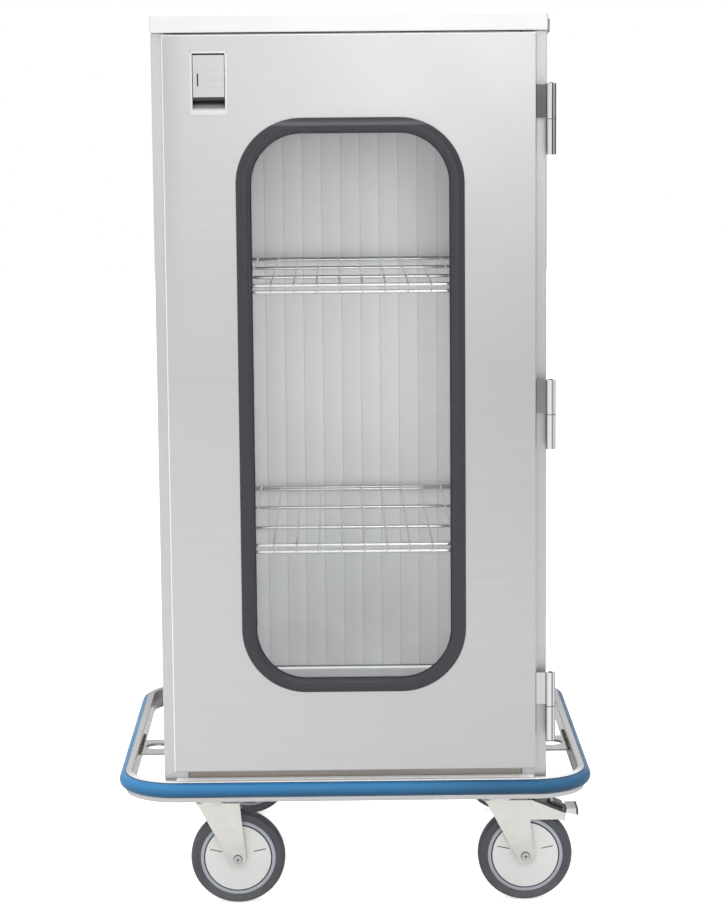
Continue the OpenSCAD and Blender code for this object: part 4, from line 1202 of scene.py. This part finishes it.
class CART_OT_wheels(bpy.types.Operator):
    """Tyres, rims and hub caps"""

    bl_idname = "case_cart.wheels"
    bl_label = "Wheels"

    def execute(self, context):
        for key in CORNERS:
            wheel = "wheel_" + key
            low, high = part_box("tyre_" + key)
            centre, radius, half = (low + high) / 2, (high.x - low.x) / 2, (high.y - low.y) / 2
            rim_low, rim_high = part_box("rim_" + key)
            hole, flank, shoulder = (rim_high.x - rim_low.x) / 2, radius - 0.0035, half - 0.009
            outline = rounded((
                (hole, -half, 0.0008), (flank, -half, 0.004), (radius, -shoulder, 0.006),
                (radius, shoulder, 0.006), (flank, half, 0.004), (hole, half, 0.0008)), 6)
            bm = bmesh.new()
            turned(bm, centre, outline, steps=128)
            piece(bm, "wheel_tyre_" + key, wheel, "tyre_rubber", "tyre rubber", "tyre_" + key)
            rounded_piece("rim_" + key, "wheel_rim_" + key, wheel, "rim_ring", "ring plastic", light=0.0005)
            rounded_piece("hub_caps_" + key, "wheel_caps_" + key, wheel, "cap_plastic", "cap plastic", light=0.0004)
            low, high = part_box("hub_caps_" + key)
            # A dark ring set in the gap between each cap and its rim: painted shadow where the gap lies in shade.
            bm = bmesh.new()
            face_rings(bm, centre, (high.x - low.x) / 2, (high.y - low.y) / 2,
                  ((-0.0004, 0.0034), (-0.0002, 0.0014), (0.0010, 0.0009), (0.0023, 0.0012), (0.0023, 0.0034)), 96)
            piece(bm, "cap_rings_" + key, wheel, "tyre_rubber", "seal rubber")
        return {"FINISHED"}


class CART_OT_brakes(bpy.types.Operator):
    """Brake pedals of two casters"""

    bl_idname = "case_cart.brakes"
    bl_label = "Brakes"

    def execute(self, context):
        for key in BRAKED:
            rounded_piece("brake_pedal_" + key, "foot_pedal_" + key, "pedal_" + key, "caster_steel", "pedal " + key,
                          light=0.0006)
        return {"FINISHED"}


class CART_OT_holdback(bpy.types.Operator):
    """Hold-back for the open door"""

    bl_idname = "case_cart.holdback"
    bl_label = "Door hold-back"

    def execute(self, context):
        rounded_piece("door_holdback", "holdback_pod", "cabinet", "zinc_bolt", "zinc bolt", light=0.0008)
        return {"FINISHED"}


# Greys of the studio's walls by the share of a full turn, 0.5 being in front of the door, and by height
STUDIO_ROUND = ((0.0, 0.95), (0.09, 0.95), (0.10, 0.15), (0.16, 0.15), (0.18, 1.0), (0.44, 1.0), (0.46, 0.82),
                (0.485, 0.82), (0.495, 1.1), (0.530, 1.1), (0.540, 0.12), (0.600, 0.12), (0.612, 1.05), (0.700, 1.05),
                (0.720, 0.12), (0.790, 0.12), (0.80, 0.5), (0.84, 0.5), (0.86, 0.15), (0.90, 0.15), (0.93, 0.95),
                (1.0, 0.95))
STUDIO_HEIGHT = ((0.0, 0.8), (0.48, 0.9), (0.53, 1.0), (1.0, 1.2))


def area_lamp(name, shape, size, power, place, target=None):
    """An area lamp, turned towards a point, or else straight to the back."""
    data = bpy.data.lights.new(name, "AREA")
    data.shape, data.size, data.energy = shape, size, power
    lamp = new_object(name, data)
    lamp.location = place
    lamp.rotation_euler = (math.pi / 2, 0.0, 0.0)
    if target:
        lamp.rotation_euler = (Vector(target) - lamp.location).to_track_quat("-Z", "Y").to_euler()
    return lamp


class CART_OT_stage(bpy.types.Operator):
    """Floor, soft studio light, white surround and the photograph's camera"""

    bl_idname = "case_cart.stage"
    bl_label = "Stage"

    def execute(self, context):
        scene = context.scene
        stage = scene.cart_stage
        bm = bmesh.new()
        reach = 14.0
        bm.faces.new([bm.verts.new((x * reach, y * reach, 0.0)) for x, y in ((-1, -1), (1, -1), (1, 1), (-1, 1))])
        floor = new_object("floor", mesh_from(bm, "floor"))
        floor.data.materials.append(material("plain floor"))

        world = bpy.data.worlds.new("Studio")
        scene.world = world
        world.use_nodes = True
        tree = world.node_tree
        tree.nodes.clear()
        out = tree.nodes.new("ShaderNodeOutputWorld")
        where = tree.nodes.new("ShaderNodeTexCoord")
        parts = add(tree, "ShaderNodeSeparateXYZ", {0: where.outputs["Generated"]})
        round_z = calc(tree, "ARCTAN2", parts.outputs["X"], calc(tree, "MULTIPLY", parts.outputs["Y"], -1.0))
        walls = grey_ramp(tree, ranged(tree, round_z, -math.pi, math.pi), STUDIO_ROUND)
        upward = grey_ramp(tree, ranged(tree, parts.outputs["Z"], -1.0, 1.0), STUDIO_HEIGHT)
        around = colour_mix(tree, ranged(tree, parts.outputs["Z"], 0.12, 0.5), walls, WHITE)
        seen = add(tree, "ShaderNodeBackground", {"Color": WHITE, "Strength": 1.0})
        lit = add(tree, "ShaderNodeBackground", {"Color": tinted(tree, around, upward), "Strength": stage.sky})
        path = tree.nodes.new("ShaderNodeLightPath")
        mix = add(tree, "ShaderNodeMixShader", {0: path.outputs["Is Camera Ray"]})
        tree.links.new(lit.outputs[0], mix.inputs[1])
        tree.links.new(seen.outputs[0], mix.inputs[2])
        tree.links.new(mix.outputs[0], out.inputs["Surface"])

        area_lamp("softbox", "DISK", 1.0, stage.key, (0.4, -5.2, 1.85), (0.0, -0.3, 1.2))
        area_lamp("overhead", "DISK", 2.4, stage.fill, (0.0, 0.4, 4.0), (0.0, 0.0, 0.0))
        aside, ahead, below, width, height = 0.26, 0.62, 0.14, 0.08, 1.0
        for side in (-1, 1):
            lamp = area_lamp("inside", "RECTANGLE", width, stage.inside,
                             (side * aside, BACK_HIGH.y - ahead, WINDOW_Z - below))
            lamp.data.size_y = height
            lamp.visible_camera = lamp.visible_glossy = False

        data = bpy.data.cameras.new("photo_camera")
        data.sensor_fit = "VERTICAL"
        data.sensor_height = 36.0
        data.lens = 106.75
        data.clip_end = 60.0
        camera = new_object("photo_camera", data)
        roll, pitch, yaw = math.radians(-0.48938), math.radians(8.17055), math.radians(0.53056)
        turn = Matrix.Rotation(roll, 3, "Y") @ Matrix.Rotation(pitch, 3, "X") @ Matrix.Rotation(yaw, 3, "Z")
        axes = Matrix((turn[0], turn[2], -turn[1])).transposed()
        camera.matrix_world = Matrix.Translation((-0.0226, -4.6893, 1.3829)) @ axes.to_4x4()
        scene.camera = camera
        scene.view_settings.view_transform = "Standard"
        return {"FINISHED"}


class CART_PT_panel(bpy.types.Panel):
    """Lists the cart's settings and build steps"""

    bl_idname = "CART_PT_panel"
    bl_label = "Case cart"
    bl_space_type = "VIEW_3D"
    bl_region_type = "UI"
    bl_category = "Case cart"

    def draw(self, context):
        for key in SETTINGS:
            group = getattr(context.scene, key)
            for name in group.__annotations__:
                self.layout.prop(group, name)
        for operator in OPERATORS:
            self.layout.operator(operator.bl_idname)


SETTINGS = {
    "cart_metal": CartMetal,
    "cart_door": CartDoor,
    "cart_wall": CartWall,
    "cart_bumper": CartBumper,
    "cart_shelf": CartShelf,
    "cart_wheel": CartWheel,
    "cart_stage": CartStage,
}
OPERATORS = (
    CART_OT_cabinet, CART_OT_cove, CART_OT_door, CART_OT_gasket, CART_OT_latch, CART_OT_hinges, CART_OT_shelves,
    CART_OT_chassis, CART_OT_bumper, CART_OT_casters, CART_OT_wheels, CART_OT_brakes, CART_OT_holdback,
    CART_OT_stage,
)
CLASSES = (*SETTINGS.values(), *OPERATORS, CART_PT_panel)


def register():
    """Registers the settings, operators and panel."""
    for each in CLASSES:
        bpy.utils.register_class(each)
    for key, kind in SETTINGS.items():
        setattr(bpy.types.Scene, key, PointerProperty(type=kind))


def unregister():
    """Takes the settings, operators and panel away again."""
    for key in SETTINGS:
        delattr(bpy.types.Scene, key)
    for each in reversed(CLASSES):
        bpy.utils.unregister_class(each)


def main():
    """Builds every piece and the stage."""
    register()
    for operator in OPERATORS:
        group, step = operator.bl_idname.split(".")
        getattr(getattr(bpy.ops, group), step)()


if __name__ == "__main__":
    main()
